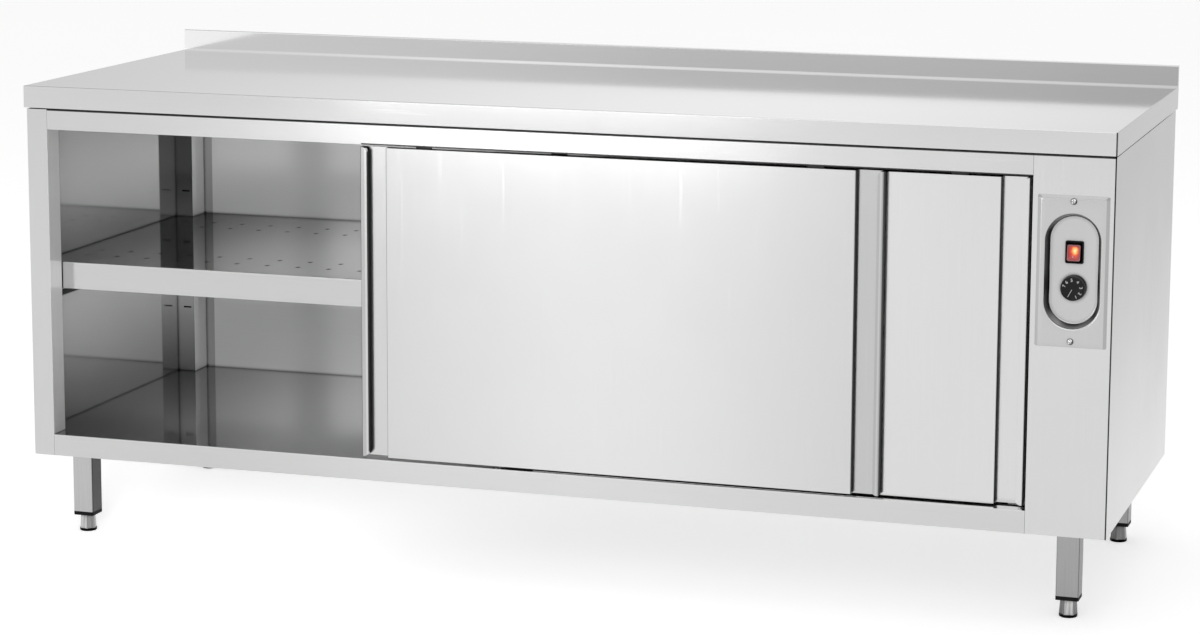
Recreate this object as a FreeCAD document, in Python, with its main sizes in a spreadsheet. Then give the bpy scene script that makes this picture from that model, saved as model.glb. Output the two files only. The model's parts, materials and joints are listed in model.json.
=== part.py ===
"""Plate warmer cabinet: a steel cupboard with sliding doors, a shelf and a fan heater.

The frame has +X to the right, +Y to the back and +Z up, in millimetres. Its origin is on
the floor, under the middle of the worktop. The doors are modelled where they stand in use:
the front one half open over the middle, the rear one closed at the right.
"""
import FreeCAD, Part
import enum
import math
import operator
import os
import Sketcher

# Driving sizes, each a length in millimetres
SIZES = {
    # Worktop
    "worktop_length": 2000.0,
    "worktop_depth": 700.0,
    "working_height": 850.0,
    "worktop_edge": 40.0,
    "worktop_sheet": 1.5,
    "worktop_return": 15.0,
    "upstand_height": 40.0,
    "upstand_depth": 10.0,
    "bend_radius": 2.0,
    "stiffener_width": 80.0,
    "stiffener_inset": 130.0,
    "stiffener_end_gap": 4.0,
    "worktop_screw_inset": 60.0,
    # Cabinet body
    "side_overhang": 2.0,
    "front_overhang": 9.0,
    "back_overhang": 12.0,
    "shadow_gap": 3.0,
    "sheet": 1.2,
    "leg_height": 160.0,
    "bottom_rail_height": 40.0,
    "top_rail_height": 37.0,
    "flange": 15.0,
    "jamb_width": 40.0,
    "jamb_depth": 45.0,
    "casing_width": 138.0,
    "post_width": 36.8,
    "post_depth": 57.0,
    "post_flange": 20.0,
    # Shelf and its supports
    "shelf_top_height": 518.0,
    "shelf_thickness": 50.0,
    "shelf_clearance": 1.0,
    "shelf_side_gap": 1.3,
    "shelf_lip": 12.0,
    "shelf_front_gap": 2.0,
    "hole_radius": 3.0,
    "hole_left_inset": 111.0,
    "hole_right_inset": 98.0,
    "hole_row_spacing": 58.0,
    "front_hole_row_inset": 82.0,
    "back_hole_row_inset": 115.0,
    "hook_slot_width": 18.0,
    "hook_slot_height": 3.0,
    "hook_slot_pitch": 119.0,
    "hook_slot_inset": 21.2,
    "hook_drop": 17.0,
    "hook_reach": 5.0,
    "hook_width": 16.0,
    "hook_gap": 0.5,
    # Sliding doors
    "door_setback": 1.0,
    "door_thickness": 16.0,
    "door_spacing": 19.5,
    "door_sheet": 1.0,
    "door_floor_gap": 5.0,
    "door_top_gap": 5.0,
    "rear_door_drop": 2.0,
    "door_overlap": 88.0,
    "door_end_gap": 3.0,
    "front_door_shift": 612.0,
    "rear_door_shift": 5.0,
    "grip_lip_width": 12.5,
    "grip_recess_width": 36.0,
    "grip_bend_radius": 3.0,
    "grip_corner_radius": 9.0,
    "grip_end_length": 11.0,
    "core_top_gap": 20.0,
    "core_bottom_gap": 13.0,
    "core_clearance": 0.4,
    # Door hangers, rollers and track
    "hanger_inset": 120.0,
    "hanger_width": 30.0,
    "hanger_plate": 2.5,
    "hanger_depth": 4.0,
    "hanger_foot_depth": 10.0,
    "hanger_slot_gap": 0.3,
    "roller_radius": 11.0,
    "roller_width": 7.0,
    "roller_offset": 8.6,
    "roller_chamfer": 1.0,
    "axle_radius": 3.0,
    "axle_clearance": 0.05,
    "axle_head_radius": 4.5,
    "axle_head": 1.0,
    "axle_end_gap": 0.2,
    "roller_lift": 0.1,
    "track_sheet": 1.5,
    "track_web_offset": 17.5,
    "ledge_offset": 7.2,
    "ledge_height": 13.0,
    "bead": 1.0,
    "stop_length": 14.0,
    "stop_height": 18.0,
    "stop_gap": 0.3,
    # Floor guide of the doors
    "guide_length": 40.0,
    "guide_base": 1.5,
    "guide_fin": 3.0,
    "guide_fin_height": 13.0,
    "guide_groove": 5.0,
    "guide_groove_height": 11.0,
    # Legs and feet
    "leg_width": 40.0,
    "leg_wall": 1.5,
    "leg_tube_bottom": 39.0,
    "leg_corner_radius": 3.0,
    "leg_front_inset": 65.0,
    "leg_back_inset": 30.0,
    "leg_left_inset": 43.0,
    "leg_right_inset": 54.0,
    "leg_plate": 3.0,
    "leg_plate_width": 80.0,
    "leg_bolt_inset": 10.0,
    "stud_radius": 3.0,
    "stud_clearance": 0.5,
    "stud_length": 14.0,
    "nut_radius": 5.8,
    "nut_height": 5.0,
    "insert_collar": 7.0,
    "insert_depth": 25.0,
    "insert_clearance": 0.2,
    "spindle_radius": 5.0,
    "spindle_clearance": 0.05,
    "spindle_length": 28.0,
    "foot_top_radius": 14.0,
    "foot_bottom_radius": 16.0,
    "foot_gap": 0.3,
    "foot_pad_height": 5.0,
    "foot_pad_chamfer": 1.2,
    # Control plate on the casing
    "plate_width": 120.0,
    "plate_height": 256.0,
    "plate_centre_drop": 194.0,
    "plate_thickness": 2.0,
    "plate_corner_radius": 4.0,
    "plate_bevel": 1.2,
    "well_width": 95.5,
    "well_height": 196.5,
    "well_floor_width": 80.0,
    "well_depth": 20.0,
    "well_sheet": 1.0,
    "well_clearance": 1.0,
    "plate_screw_inset": 10.0,
    "screw_radius": 2.0,
    "screw_head_radius": 4.2,
    "screw_head_height": 2.4,
    "screw_length": 9.0,
    "screw_clearance": 0.2,
    # Rocker switch
    "control_spacing": 60.0,
    "switch_width": 30.5,
    "switch_height": 38.0,
    "switch_bezel": 2.5,
    "switch_body_inset": 2.0,
    "switch_body_depth": 26.0,
    "rocker_width": 22.7,
    "rocker_radius": 15.0,
    "rocker_gap": 0.3,
    "rocker_pivot_depth": 1.0,
    "rocker_pin_radius": 1.5,
    "rocker_pin_length": 1.2,
    "rocker_pin_clearance": 0.05,
    # Thermostat
    "knob_radius": 22.3,
    "knob_height": 12.0,
    "pointer_width": 2.5,
    "pointer_length": 14.0,
    "pointer_depth": 0.5,
    "knob_gap": 1.0,
    "knob_edge_radius": 1.5,
    "knob_spindle_radius": 3.0,
    "knob_spindle_length": 16.0,
    "knob_spindle_clearance": 0.05,
    "knob_bore_depth": 8.0,
    "thermostat_width": 42.0,
    "thermostat_depth": 30.0,
    "thermostat_neck_radius": 6.0,
    "thermostat_neck_clearance": 0.2,
    "capillary_radius": 1.5,
    "capillary_bend": 40.0,
    "capillary_inset": 150.0,
    "sensor_radius": 4.0,
    "sensor_length": 80.0,
    "sensor_gland_radius": 9.0,
    "sensor_gland_length": 5.0,
    "sensor_clearance": 0.2,
    # Fan and heater
    "fan_height": 335.0,
    "grille_hole_radius": 4.0,
    "grille_ring_step": 14.0,
    "outlet_length": 60.0,
    "outlet_height": 6.0,
    "outlet_pitch": 16.0,
    "outlet_distance": 100.0,
    "heater_box_width": 290.0,
    "heater_box_height": 250.0,
    "heater_box_depth": 58.0,
    "element_radius": 4.2,
    "element_ring_radius": 84.0,
    "element_offset": 18.0,
    "element_lead_spacing": 24.0,
    "element_clearance": 0.2,
    "element_lead": 9.0,
    "impeller_radius": 65.0,
    "impeller_inner_radius": 48.0,
    "impeller_offset": 6.0,
    "impeller_width": 24.0,
    "impeller_plate": 1.5,
    "impeller_blade": 1.5,
    "impeller_hub_radius": 9.0,
    "motor_shaft_radius": 4.0,
    "motor_shaft_clearance": 0.3,
    "motor_radius": 36.0,
    "motor_length": 52.0,
    "motor_cap_radius": 22.0,
    "motor_cap_length": 6.0,
    "motor_plate": 3.0,
    "motor_plate_width": 96.0,
    "limiter_radius": 12.0,
    "limiter_height": 10.0,
    "limiter_offset": 100.0,
    # Wiring
    "terminal_length": 70.0,
    "terminal_width": 28.0,
    "terminal_height": 24.0,
    "terminal_pitch": 11.0,
    "terminal_hole_radius": 2.0,
    "terminal_hole_depth": 10.0,
    "terminal_back_inset": 60.0,
    "loom_radius": 4.0,
    "loom_spacing": 10.0,
    "loom_bend": 40.0,
    "gland_height": 260.0,
    "gland_hex_radius": 15.0,
    "gland_hex_height": 4.0,
    "gland_dome_radius": 12.0,
    "gland_dome_height": 7.0,
    "gland_thread_radius": 10.0,
    "gland_thread_length": 9.0,
    "gland_nut_height": 4.0,
    "gland_bore_radius": 5.0,
    "gland_clearance": 0.2,
    # Service cover on the back
    "service_width": 100.0,
    "service_height": 300.0,
    "service_bottom": 340.0,
    "service_lap": 10.0,
    "service_screw_inset": 5.0,
    # Recess for the driver in the screws of the control plate
    "recess_length": 4.6,
    "recess_width": 0.9,
    "recess_depth": 1.2,
    "screw_dome_radius": 1.8,
    # Cuts that pass a face run this far beyond it
    "overrun": 5.0,
}

# Angles in degrees
ANGLES = {
    "rocker_face_degrees": 9.0,
    "pointer_degrees": 210.0,
    "front_left_foot_degrees": 47.0,
    "front_right_foot_degrees": 12.0,
    "rear_left_foot_degrees": 20.0,
    "rear_right_foot_degrees": 28.0,
}

# Counts of copies that a length doesn't decide
HOOK_SLOT_COUNT = 3
IMPELLER_BLADE_COUNT = 18
GRILLE_RING_COUNT = 3
GRILLE_HOLES_PER_RING = 6
OUTLET_COUNT = 6
SHELF_HOLE_COLUMNS = 28
TERMINAL_COUNT = 5
STIFFENER_COUNT = 3
HEXAGON_SIDES = 6

FULL_TURN_DEGREES = 360.0
HALF_TURN_DEGREES = FULL_TURN_DEGREES / 2
QUARTER_TURN_DEGREES = FULL_TURN_DEGREES / 4

# How closely two coordinates or two directions match
MATCH_SHARE = 0.001
PARALLEL_SHARE = 0.999


class SketchItem(enum.IntEnum):
    """What every sketch holds from the start, by its number there."""

    ORIGIN = -1


class SketchPoint(enum.IntEnum):
    """A point of a line, an arc or a circle, by its number in a sketch."""

    START = 1
    END = 2
    CENTRE = 3


doc = FreeCAD.newDocument("plate_warmer_cabinet")
sheet = doc.addObject("Spreadsheet::Sheet", "sizes")
for row, (alias, number) in enumerate([*SIZES.items(), *ANGLES.items()], start=1):
    sheet.set(f"A{row}", alias)
    sheet.set(f"B{row}", str(number))
    sheet.setAlias(f"B{row}", alias)
doc.recompute()


class Size:
    """A size as an expression on the sheet, together with its present value."""

    def __init__(self, text, value):
        self.text = text
        self.value = value

    def joined(self, sign, action, left, right):
        """The size that two sizes or a size and a plain factor make."""
        texts = []
        values = []
        for term in (left, right):
            texts.append(term.text if isinstance(term, Size) else repr(term))
            values.append(term.value if isinstance(term, Size) else term)
        return Size(f"({texts[0]} {sign} {texts[1]})", action(*values))

    def __add__(self, other):
        return self.joined("+", operator.add, self, other)

    def __sub__(self, other):
        return self.joined("-", operator.sub, self, other)

    def __mul__(self, other):
        return self.joined("*", operator.mul, self, other)

    def __rmul__(self, other):
        return self.joined("*", operator.mul, other, self)

    def __truediv__(self, other):
        return self.joined("/", operator.truediv, self, other)

    def __neg__(self):
        return self.joined("*", operator.mul, -1, self)


class Sheet:
    """The sheet's cells as sizes, by their aliases."""

    def __getattr__(self, alias):
        return Size(f"sizes.{alias}", SIZES[alias] if alias in SIZES else ANGLES[alias])


s = Sheet()
ZERO = Size("0", 0.0)

# The planes that a sketch can lie on, by the axis that it looks along: the plane's role,
# the row axes of the sketch's own x and y, and the sign of its normal along the axis
PLANES = {"z": ("XY_Plane", 1), "y": ("XZ_Plane", -1), "x": ("YZ_Plane", 1)}


def bind(item, name, size):
    """Tie a property of an object to a size."""
    item.setExpression(name, size.text)


nodes = []


def new_body(label, members=nodes):
    """Start a sub-part as a body, either a node or one of the solids of a group."""
    body = doc.addObject("PartDesign::Body", label)
    body.Label = label
    members.append(body)
    return body


def origin_part(body, role):
    """One of the body's own origin planes or axes."""
    return next(feature for feature in body.Origin.OriginFeatures if feature.Role == role)


def new_sketch(body, axis, offset, centre=(ZERO, ZERO)):
    """A sketch square to a row axis, at a distance along it, with its own origin at centre."""
    role, sign = PLANES[axis]
    sketch = body.newObject("Sketcher::SketchObject", "sketch")
    sketch.AttachmentSupport = [(origin_part(body, role), "")]
    sketch.MapMode = "FlatFace"
    bind(sketch, "AttachmentOffset.Base.x", centre[0])
    bind(sketch, "AttachmentOffset.Base.y", centre[1])
    bind(sketch, "AttachmentOffset.Base.z", offset if sign > 0 else -offset)
    return sketch


def pin_point(sketch, item, point, x, y):
    """Hold one point of a sketch at two sizes from its origin."""
    for kind, size in (("DistanceX", x), ("DistanceY", y)):
        ends = (SketchItem.ORIGIN, SketchPoint.START, item, point)
        index = sketch.addConstraint(Sketcher.Constraint(kind, *ends, size.value))
        sketch.setExpression(f"Constraints[{index}]", size.text)


def draw_outline(sketch, points):
    """A closed outline of straight lines through the points."""
    spots = [FreeCAD.Vector(x.value, y.value, 0) for x, y in points]
    first = sketch.GeometryCount
    count = len(points)
    for index in range(count):
        sketch.addGeometry(Part.LineSegment(spots[index], spots[(index + 1) % count]), False)
    for index in range(count):
        ends = (first + index, SketchPoint.END, first + (index + 1) % count, SketchPoint.START)
        sketch.addConstraint(Sketcher.Constraint("Coincident", *ends))
    for index, (x, y) in enumerate(points):
        pin_point(sketch, first + index, SketchPoint.START, x, y)


def draw_circle(sketch, x, y, radius):
    """A circle with its centre and radius held by sizes."""
    circle = Part.Circle(FreeCAD.Vector(x.value, y.value, 0), FreeCAD.Vector(0, 0, 1), radius.value)
    item = sketch.addGeometry(circle, False)
    index = sketch.addConstraint(Sketcher.Constraint("Radius", item, radius.value))
    sketch.setExpression(f"Constraints[{index}]", radius.text)
    pin_point(sketch, item, SketchPoint.CENTRE, x, y)


def draw_stadium(sketch, x, y, width, height):
    """An upright outline with two straight sides and two half-round ends."""
    radius = width / 2
    rise = (height - width) / 2
    ends = []
    for sign in (1, -1):
        centre = FreeCAD.Vector(x.value, y.value + sign * rise.value, 0)
        circle = Part.Circle(centre, FreeCAD.Vector(0, 0, 1), radius.value)
        start = 0 if sign > 0 else math.pi
        item = sketch.addGeometry(Part.ArcOfCircle(circle, start, start + math.pi), False)
        index = sketch.addConstraint(Sketcher.Constraint("Radius", item, radius.value))
        sketch.setExpression(f"Constraints[{index}]", radius.text)
        pin_point(sketch, item, SketchPoint.CENTRE, x, y + sign * rise)
        for point in (SketchPoint.START, SketchPoint.END):
            level = Sketcher.Constraint("Horizontal", item, point, item, SketchPoint.CENTRE)
            sketch.addConstraint(level)
        ends.append(item)
    for above, below in (ends, reversed(ends)):
        start = (above, SketchPoint.END)
        finish = (below, SketchPoint.START)
        line = Part.LineSegment(sketch.getPoint(*start), sketch.getPoint(*finish))
        item = sketch.addGeometry(line, False)
        sketch.addConstraint(Sketcher.Constraint("Coincident", item, SketchPoint.START, *start))
        sketch.addConstraint(Sketcher.Constraint("Coincident", item, SketchPoint.END, *finish))


def extrude(body, axis, draw, low, high, cut, centre=(ZERO, ZERO)):
    """Pad or pocket what draw puts on a sketch, from low to high along a row axis."""
    sign = PLANES[axis][1]
    from_high = (sign < 0) != cut
    sketch = new_sketch(body, axis, high if from_high else low, centre)
    draw(sketch)
    feature = body.newObject("PartDesign::Pocket" if cut else "PartDesign::Pad", "cut" if cut else "add")
    feature.Profile = sketch
    bind(feature, "Length", high - low)
    return feature


def add_prism(body, axis, points, low, high):
    """Add an outline drawn square to an axis, between two places along it."""
    return extrude(body, axis, lambda sketch: draw_outline(sketch, points), low, high, False)


def cut_prism(body, axis, points, low, high):
    """Cut an outline drawn square to an axis, between two places along it."""
    return extrude(body, axis, lambda sketch: draw_outline(sketch, points), low, high, True)


def draw_circles(circles):
    """A drawing of circles, each given as x, y and radius."""
    def draw(sketch):
        for x, y, radius in circles:
            draw_circle(sketch, x, y, radius)
    return draw


def add_discs(body, axis, circles, low, high, centre=(ZERO, ZERO)):
    """Add round discs, or rings where one circle lies in another."""
    return extrude(body, axis, draw_circles(circles), low, high, False, centre)


def cut_discs(body, axis, circles, low, high, centre=(ZERO, ZERO)):
    """Cut round holes."""
    return extrude(body, axis, draw_circles(circles), low, high, True, centre)


def rectangle(x, y):
    """The corners of a rectangle from its two ranges."""
    return [(x[0], y[0]), (x[1], y[0]), (x[1], y[1]), (x[0], y[1])]


def add_block(body, x, y, z):
    """Add a block from its three ranges."""
    return add_prism(body, "z", rectangle(x, y), *z)


def cut_block(body, x, y, z):
    """Cut a block from its three ranges."""
    return cut_prism(body, "z", rectangle(x, y), *z)


def block(label, x, y, z, members=nodes):
    """A plain block as a sub-part of its own."""
    item = doc.addObject("Part::Box", label)
    item.Label = label
    members.append(item)
    for name, (low, high) in (("Length", x), ("Width", y), ("Height", z)):
        bind(item, name, high - low)
    for name, (low, high) in (("x", x), ("y", y), ("z", z)):
        bind(item, f"Placement.Base.{name}", low)
    return item


def repeat(body, feature, role, length, count):
    """Repeat a feature along an origin axis, over a length."""
    pattern = body.newObject("PartDesign::LinearPattern", "row")
    pattern.Originals = [feature]
    pattern.Direction = (origin_part(body, role), [""])
    pattern.Occurrences = count
    bind(pattern, "Length", length)
    body.Tip = pattern
    return pattern


def spin(body, feature, count):
    """Repeat a feature all the way round the origin of its own sketch."""
    pattern = body.newObject("PartDesign::PolarPattern", "ring")
    pattern.Originals = [feature]
    pattern.Axis = (feature.Profile[0], ["N_Axis"])
    pattern.Angle = FULL_TURN_DEGREES
    pattern.Occurrences = count
    body.Tip = pattern
    return pattern


def span(centre, width):
    """The range of a width about its centre."""
    return (centre - width / 2, centre + width / 2)


def is_near(value, size):
    """Whether a coordinate lies at a size."""
    return abs(value - size.value) < MATCH_SHARE * s.overrun.value


def edges_along(shape, axis, places):
    """Names of the straight edges along an axis whose other two coordinates are in places."""
    others = [index for index in range(len("xyz")) if index != "xyz".index(axis)]
    names = []
    for number, edge in enumerate(shape.Edges, start=1):
        if edge.Curve.TypeId != "Part::GeomLine":
            continue
        ends = [vertex.Point for vertex in edge.Vertexes]
        if abs((ends[1] - ends[0]).normalize()["xyz".index(axis)]) < PARALLEL_SHARE:
            continue
        if any(all(is_near(ends[0][o], place[i]) for i, o in enumerate(others)) for place in places):
            names.append(f"Edge{number}")
    return names


def round_edges(body, radius, names):
    """Round edges of the body's present tip."""
    base = body.Tip
    fillet = body.newObject("PartDesign::Fillet", "round")
    fillet.Base = (base, names)
    bind(fillet, "Radius", radius)
    return fillet


def bevel_edges(body, size, names):
    """Bevel edges of the body's present tip."""
    base = body.Tip
    chamfer = body.newObject("PartDesign::Chamfer", "bevel")
    chamfer.Base = (base, names)
    bind(chamfer, "Size", size)
    return chamfer


def group(label, items):
    """Several separate solids that share one node."""
    item = doc.addObject("Part::Compound", label)
    item.Label = label
    item.Links = items
    nodes.append(item)

# Places that several pieces share
half_length = s.worktop_length / 2
half_depth = s.worktop_depth / 2
edge_bottom = s.working_height - s.worktop_edge
body_left = s.side_overhang - half_length
body_right = half_length - s.side_overhang
body_front = s.front_overhang - half_depth
body_back = half_depth - s.back_overhang
body_bottom = s.leg_height
body_top = edge_bottom - s.shadow_gap
inner_left = body_left + s.sheet
inner_right = body_right - s.sheet
inner_back = body_back - s.sheet
inner_top = body_top - s.sheet
floor_top = body_bottom + s.bottom_rail_height
floor_bottom = floor_top - s.sheet
opening_top = body_top - s.top_rail_height
opening_left = body_left + s.jamb_width
opening_right = body_right - s.casing_width
jamb_back = body_front + s.jamb_depth
post_front = inner_back - s.post_depth
left_post_right = inner_left + s.post_width
right_post_left = opening_right - s.post_width
casing_centre = (opening_right + body_right) / 2


def cut_hook_slots(body, x, y):
    """Cut the column of slots that the shelf supports hook into."""
    slot = cut_block(body, span(x, s.hook_slot_width), y, span(first_slot_height, s.hook_slot_height))
    repeat(body, slot, "Z_Axis", (HOOK_SLOT_COUNT - 1) * s.hook_slot_pitch, HOOK_SLOT_COUNT)


shelf_bottom = s.shelf_top_height - s.shelf_thickness
slot_height = shelf_bottom - s.hook_drop
first_slot_height = slot_height - s.hook_slot_pitch
left_slot = inner_left + s.hook_slot_inset
right_slot = opening_right - s.hook_slot_inset

# Worktop
upstand_front = half_depth - s.upstand_depth
upstand_top = s.working_height + s.upstand_height
skirt_inner = s.working_height - s.worktop_sheet
mouth_length = s.worktop_length - 2 * (s.worktop_sheet + s.worktop_return)
mouth_depth = s.worktop_depth - 2 * (s.worktop_sheet + s.worktop_return)
hollow_length = s.worktop_length - 2 * s.worktop_sheet
hollow_depth = s.worktop_depth - 2 * s.worktop_sheet
return_top = edge_bottom + s.worktop_sheet
worktop = new_body("worktop")
add_block(worktop, (-half_length, half_length), (-half_depth, half_depth), (edge_bottom, s.working_height))
add_block(worktop, (-half_length, half_length), (upstand_front, half_depth), (s.working_height, upstand_top))
doc.recompute()
corner_edges = [
    *edges_along(worktop.Shape, "x", [(-half_depth, s.working_height)]),
    *edges_along(worktop.Shape, "y", [(x, s.working_height) for x in (-half_length, half_length)]),
    *edges_along(worktop.Shape, "z", [(x, -half_depth) for x in (-half_length, half_length)]),
    *edges_along(worktop.Shape, "x", [(y, upstand_top) for y in (upstand_front, half_depth)]),
]
round_edges(worktop, s.bend_radius, corner_edges)
cut_block(worktop, span(ZERO, hollow_length), span(ZERO, hollow_depth), (return_top, skirt_inner))
cut_block(worktop, span(ZERO, mouth_length), span(ZERO, mouth_depth), (edge_bottom - s.overrun, return_top))
upstand_hollow = (upstand_front + s.worktop_sheet, half_depth - s.worktop_sheet)
cut_block(worktop, span(ZERO, hollow_length), upstand_hollow, (skirt_inner, upstand_top - s.worktop_sheet))

# Stiffeners under the worktop
stiffener_reach = mouth_length / 2 - s.stiffener_end_gap
stiffener_spacing = (s.worktop_depth - 2 * s.stiffener_inset) / (STIFFENER_COUNT - 1)
stiffener_screw_x = (inner_left + s.worktop_screw_inset, opening_right - s.worktop_screw_inset)
worktop_screw_places = []
stiffeners = []
for number in range(STIFFENER_COUNT):
    y = (number - (STIFFENER_COUNT - 1) / 2) * stiffener_spacing
    half = s.stiffener_width / 2
    foot = half + s.flange
    wall = half - s.worktop_sheet
    foot_top = body_top + s.worktop_sheet
    web = skirt_inner - s.worktop_sheet
    right_side = [(foot, body_top), (foot, foot_top), (half, foot_top), (half, skirt_inner)]
    right_inside = [(wall, body_top), (wall, web)]
    outline = [
        *[(y + out, z) for out, z in right_side],
        *[(y - out, z) for out, z in reversed(right_side)],
        *[(y - out, z) for out, z in right_inside],
        *[(y + out, z) for out, z in reversed(right_inside)],
    ]
    stiffener = new_body(f"stiffener_{number + 1}", stiffeners)
    add_prism(stiffener, "x", outline, -stiffener_reach, stiffener_reach)
    screw_y = y + half + s.flange / 2
    for x in stiffener_screw_x:
        worktop_screw_places.append((x, screw_y))
        radius = s.screw_radius + s.screw_clearance
        cut_discs(stiffener, "z", [(x, screw_y, radius)], body_top - s.overrun, foot_top)
group("worktop_stiffeners", stiffeners)

# Rails, panels and posts of the body
rail_inner = body_front + s.sheet
top_rail = new_body("top_rail")
top_rail_outline = [
    (body_front, opening_top),
    (rail_inner, opening_top),
    (rail_inner, inner_top),
    (jamb_back, inner_top),
    (jamb_back, body_top),
    (body_front, body_top),
]
add_prism(top_rail, "x", top_rail_outline, opening_left, opening_right)

ceiling = new_body("ceiling_panel")
add_block(ceiling, (inner_left, inner_right), (jamb_back, inner_back), (inner_top, body_top))
ceiling_holes = [(x, y, s.screw_radius + s.screw_clearance) for x, y in worktop_screw_places]
cut_discs(ceiling, "z", ceiling_holes, inner_top - s.overrun, body_top)

bottom_flange_top = body_bottom + s.sheet
bottom_flange_back = body_front + s.flange
bottom = new_body("bottom_panel")
bottom_outline = [
    (opening_left, body_front),
    (opening_right, body_front),
    (opening_right, jamb_back),
    (inner_right, jamb_back),
    (inner_right, inner_back),
    (inner_left, inner_back),
    (inner_left, jamb_back),
    (opening_left, jamb_back),
]
front_rail_outline = [
    (body_front, body_bottom),
    (bottom_flange_back, body_bottom),
    (bottom_flange_back, bottom_flange_top),
    (rail_inner, bottom_flange_top),
    (rail_inner, floor_bottom),
    (body_front, floor_bottom),
]
add_prism(bottom, "z", bottom_outline, floor_bottom, floor_top)
add_prism(bottom, "x", front_rail_outline, opening_left, opening_right)
add_block(bottom, (inner_left, inner_right), (inner_back - s.sheet, inner_back), (body_bottom, floor_bottom))

jamb = new_body("left_jamb")
jamb_inner = opening_left - s.sheet
jamb_outline = [
    (body_left, body_front),
    (opening_left, body_front),
    (opening_left, jamb_back),
    (inner_left, jamb_back),
    (inner_left, jamb_back - s.sheet),
    (jamb_inner, jamb_back - s.sheet),
    (jamb_inner, rail_inner),
    (body_left, rail_inner),
]
add_prism(jamb, "z", jamb_outline, body_bottom, body_top)
cut_hook_slots(jamb, left_slot, (jamb_back - s.sheet, jamb_back))

for side, outer, sign in (("left", body_left, 1), ("right", body_right, -1)):
    panel = new_body(f"{side}_side_panel")
    inner = outer + sign * s.sheet
    wall = (outer, inner) if sign > 0 else (inner, outer)
    lip = (inner, inner + s.flange) if sign > 0 else (inner - s.flange, inner)
    add_block(panel, wall, (rail_inner, body_back), (body_bottom, body_top))
    add_block(panel, lip, (jamb_back, inner_back - s.sheet), (body_bottom, bottom_flange_top))

for side, wall, inner, slot in (
    ("left", inner_left, left_post_right, left_slot),
    ("right", opening_right, right_post_left, right_slot),
):
    sign = 1 if side == "right" else -1
    post = new_body(f"rear_{side}_post")
    post_outline = [
        (wall, post_front),
        (wall, post_front + s.sheet),
        (inner + sign * s.sheet, post_front + s.sheet),
        (inner + sign * s.sheet, inner_back),
        (inner, inner_back),
        (inner, post_front),
    ]
    add_prism(post, "z", post_outline, floor_top, inner_top)
    cut_hook_slots(post, slot, (post_front, post_front + s.sheet))

front_post = new_body("front_right_post")
front_post_wall = opening_right - s.sheet
front_post_outline = [
    (right_post_left, jamb_back - s.sheet),
    (opening_right, jamb_back - s.sheet),
    (opening_right, jamb_back + s.post_flange),
    (front_post_wall, jamb_back + s.post_flange),
    (front_post_wall, jamb_back),
    (right_post_left, jamb_back),
]
add_prism(front_post, "z", front_post_outline, floor_top, inner_top)
cut_hook_slots(front_post, right_slot, (jamb_back - s.sheet, jamb_back))

# Back panel with the service opening and the hole of the cable gland
service_sides = span(casing_centre, s.service_width)
service_heights = (s.service_bottom, s.service_bottom + s.service_height)
back = new_body("back_panel")
add_block(back, (inner_left, inner_right), (inner_back, body_back), (body_bottom, body_top))
cut_block(
    back,
    span(casing_centre, s.service_width - 2 * s.service_lap),
    (inner_back, body_back),
    (service_heights[0] + s.service_lap, service_heights[1] - s.service_lap),
)
service_screw_places = [
    (x, z)
    for x in span(casing_centre, s.service_width - 2 * s.service_screw_inset)
    for z in span(
        s.service_bottom + s.service_height / 2,
        s.service_height - 2 * s.service_screw_inset,
    )
]
service_holes = [(x, z, s.screw_radius + s.screw_clearance) for x, z in service_screw_places]
cut_discs(back, "y", service_holes, inner_back, body_back)
gland_hole = [(casing_centre, s.gland_height, s.gland_thread_radius + s.gland_clearance)]
cut_discs(back, "y", gland_hole, inner_back, body_back)

service_cover = new_body("service_cover")
add_block(service_cover, service_sides, (body_back, body_back + s.sheet), service_heights)
cut_discs(service_cover, "y", service_holes, body_back, body_back + s.sheet)

# Control casing: the narrow front at the right, with the hole for the well of the plate
plate_centre_height = body_top - s.plate_centre_drop
plate_height_span = span(plate_centre_height, s.plate_height)
plate_screw_heights = span(plate_centre_height, s.plate_height - 2 * s.plate_screw_inset)
casing = new_body("control_casing")
casing_inner = opening_right + s.sheet
casing_outline = [
    (opening_right, body_front),
    (body_right, body_front),
    (body_right, rail_inner),
    (casing_inner, rail_inner),
    (casing_inner, jamb_back),
    (opening_right, jamb_back),
]
add_prism(casing, "z", casing_outline, body_bottom, body_top)
casing_skin = (casing_inner, inner_right)
add_block(casing, casing_skin, (rail_inner, bottom_flange_back), (body_bottom, bottom_flange_top))
add_block(casing, casing_skin, (rail_inner, jamb_back), (inner_top, body_top))
well_hole = (s.well_width + 2 * s.well_clearance, s.well_height + 2 * s.well_clearance)
extrude(
    casing,
    "y",
    lambda sketch: draw_stadium(sketch, casing_centre, plate_centre_height, *well_hole),
    body_front,
    rail_inner,
    True,
)
plate_screw_holes = [(casing_centre, z, s.screw_radius) for z in plate_screw_heights]
cut_discs(casing, "y", plate_screw_holes, body_front, rail_inner)

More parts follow.
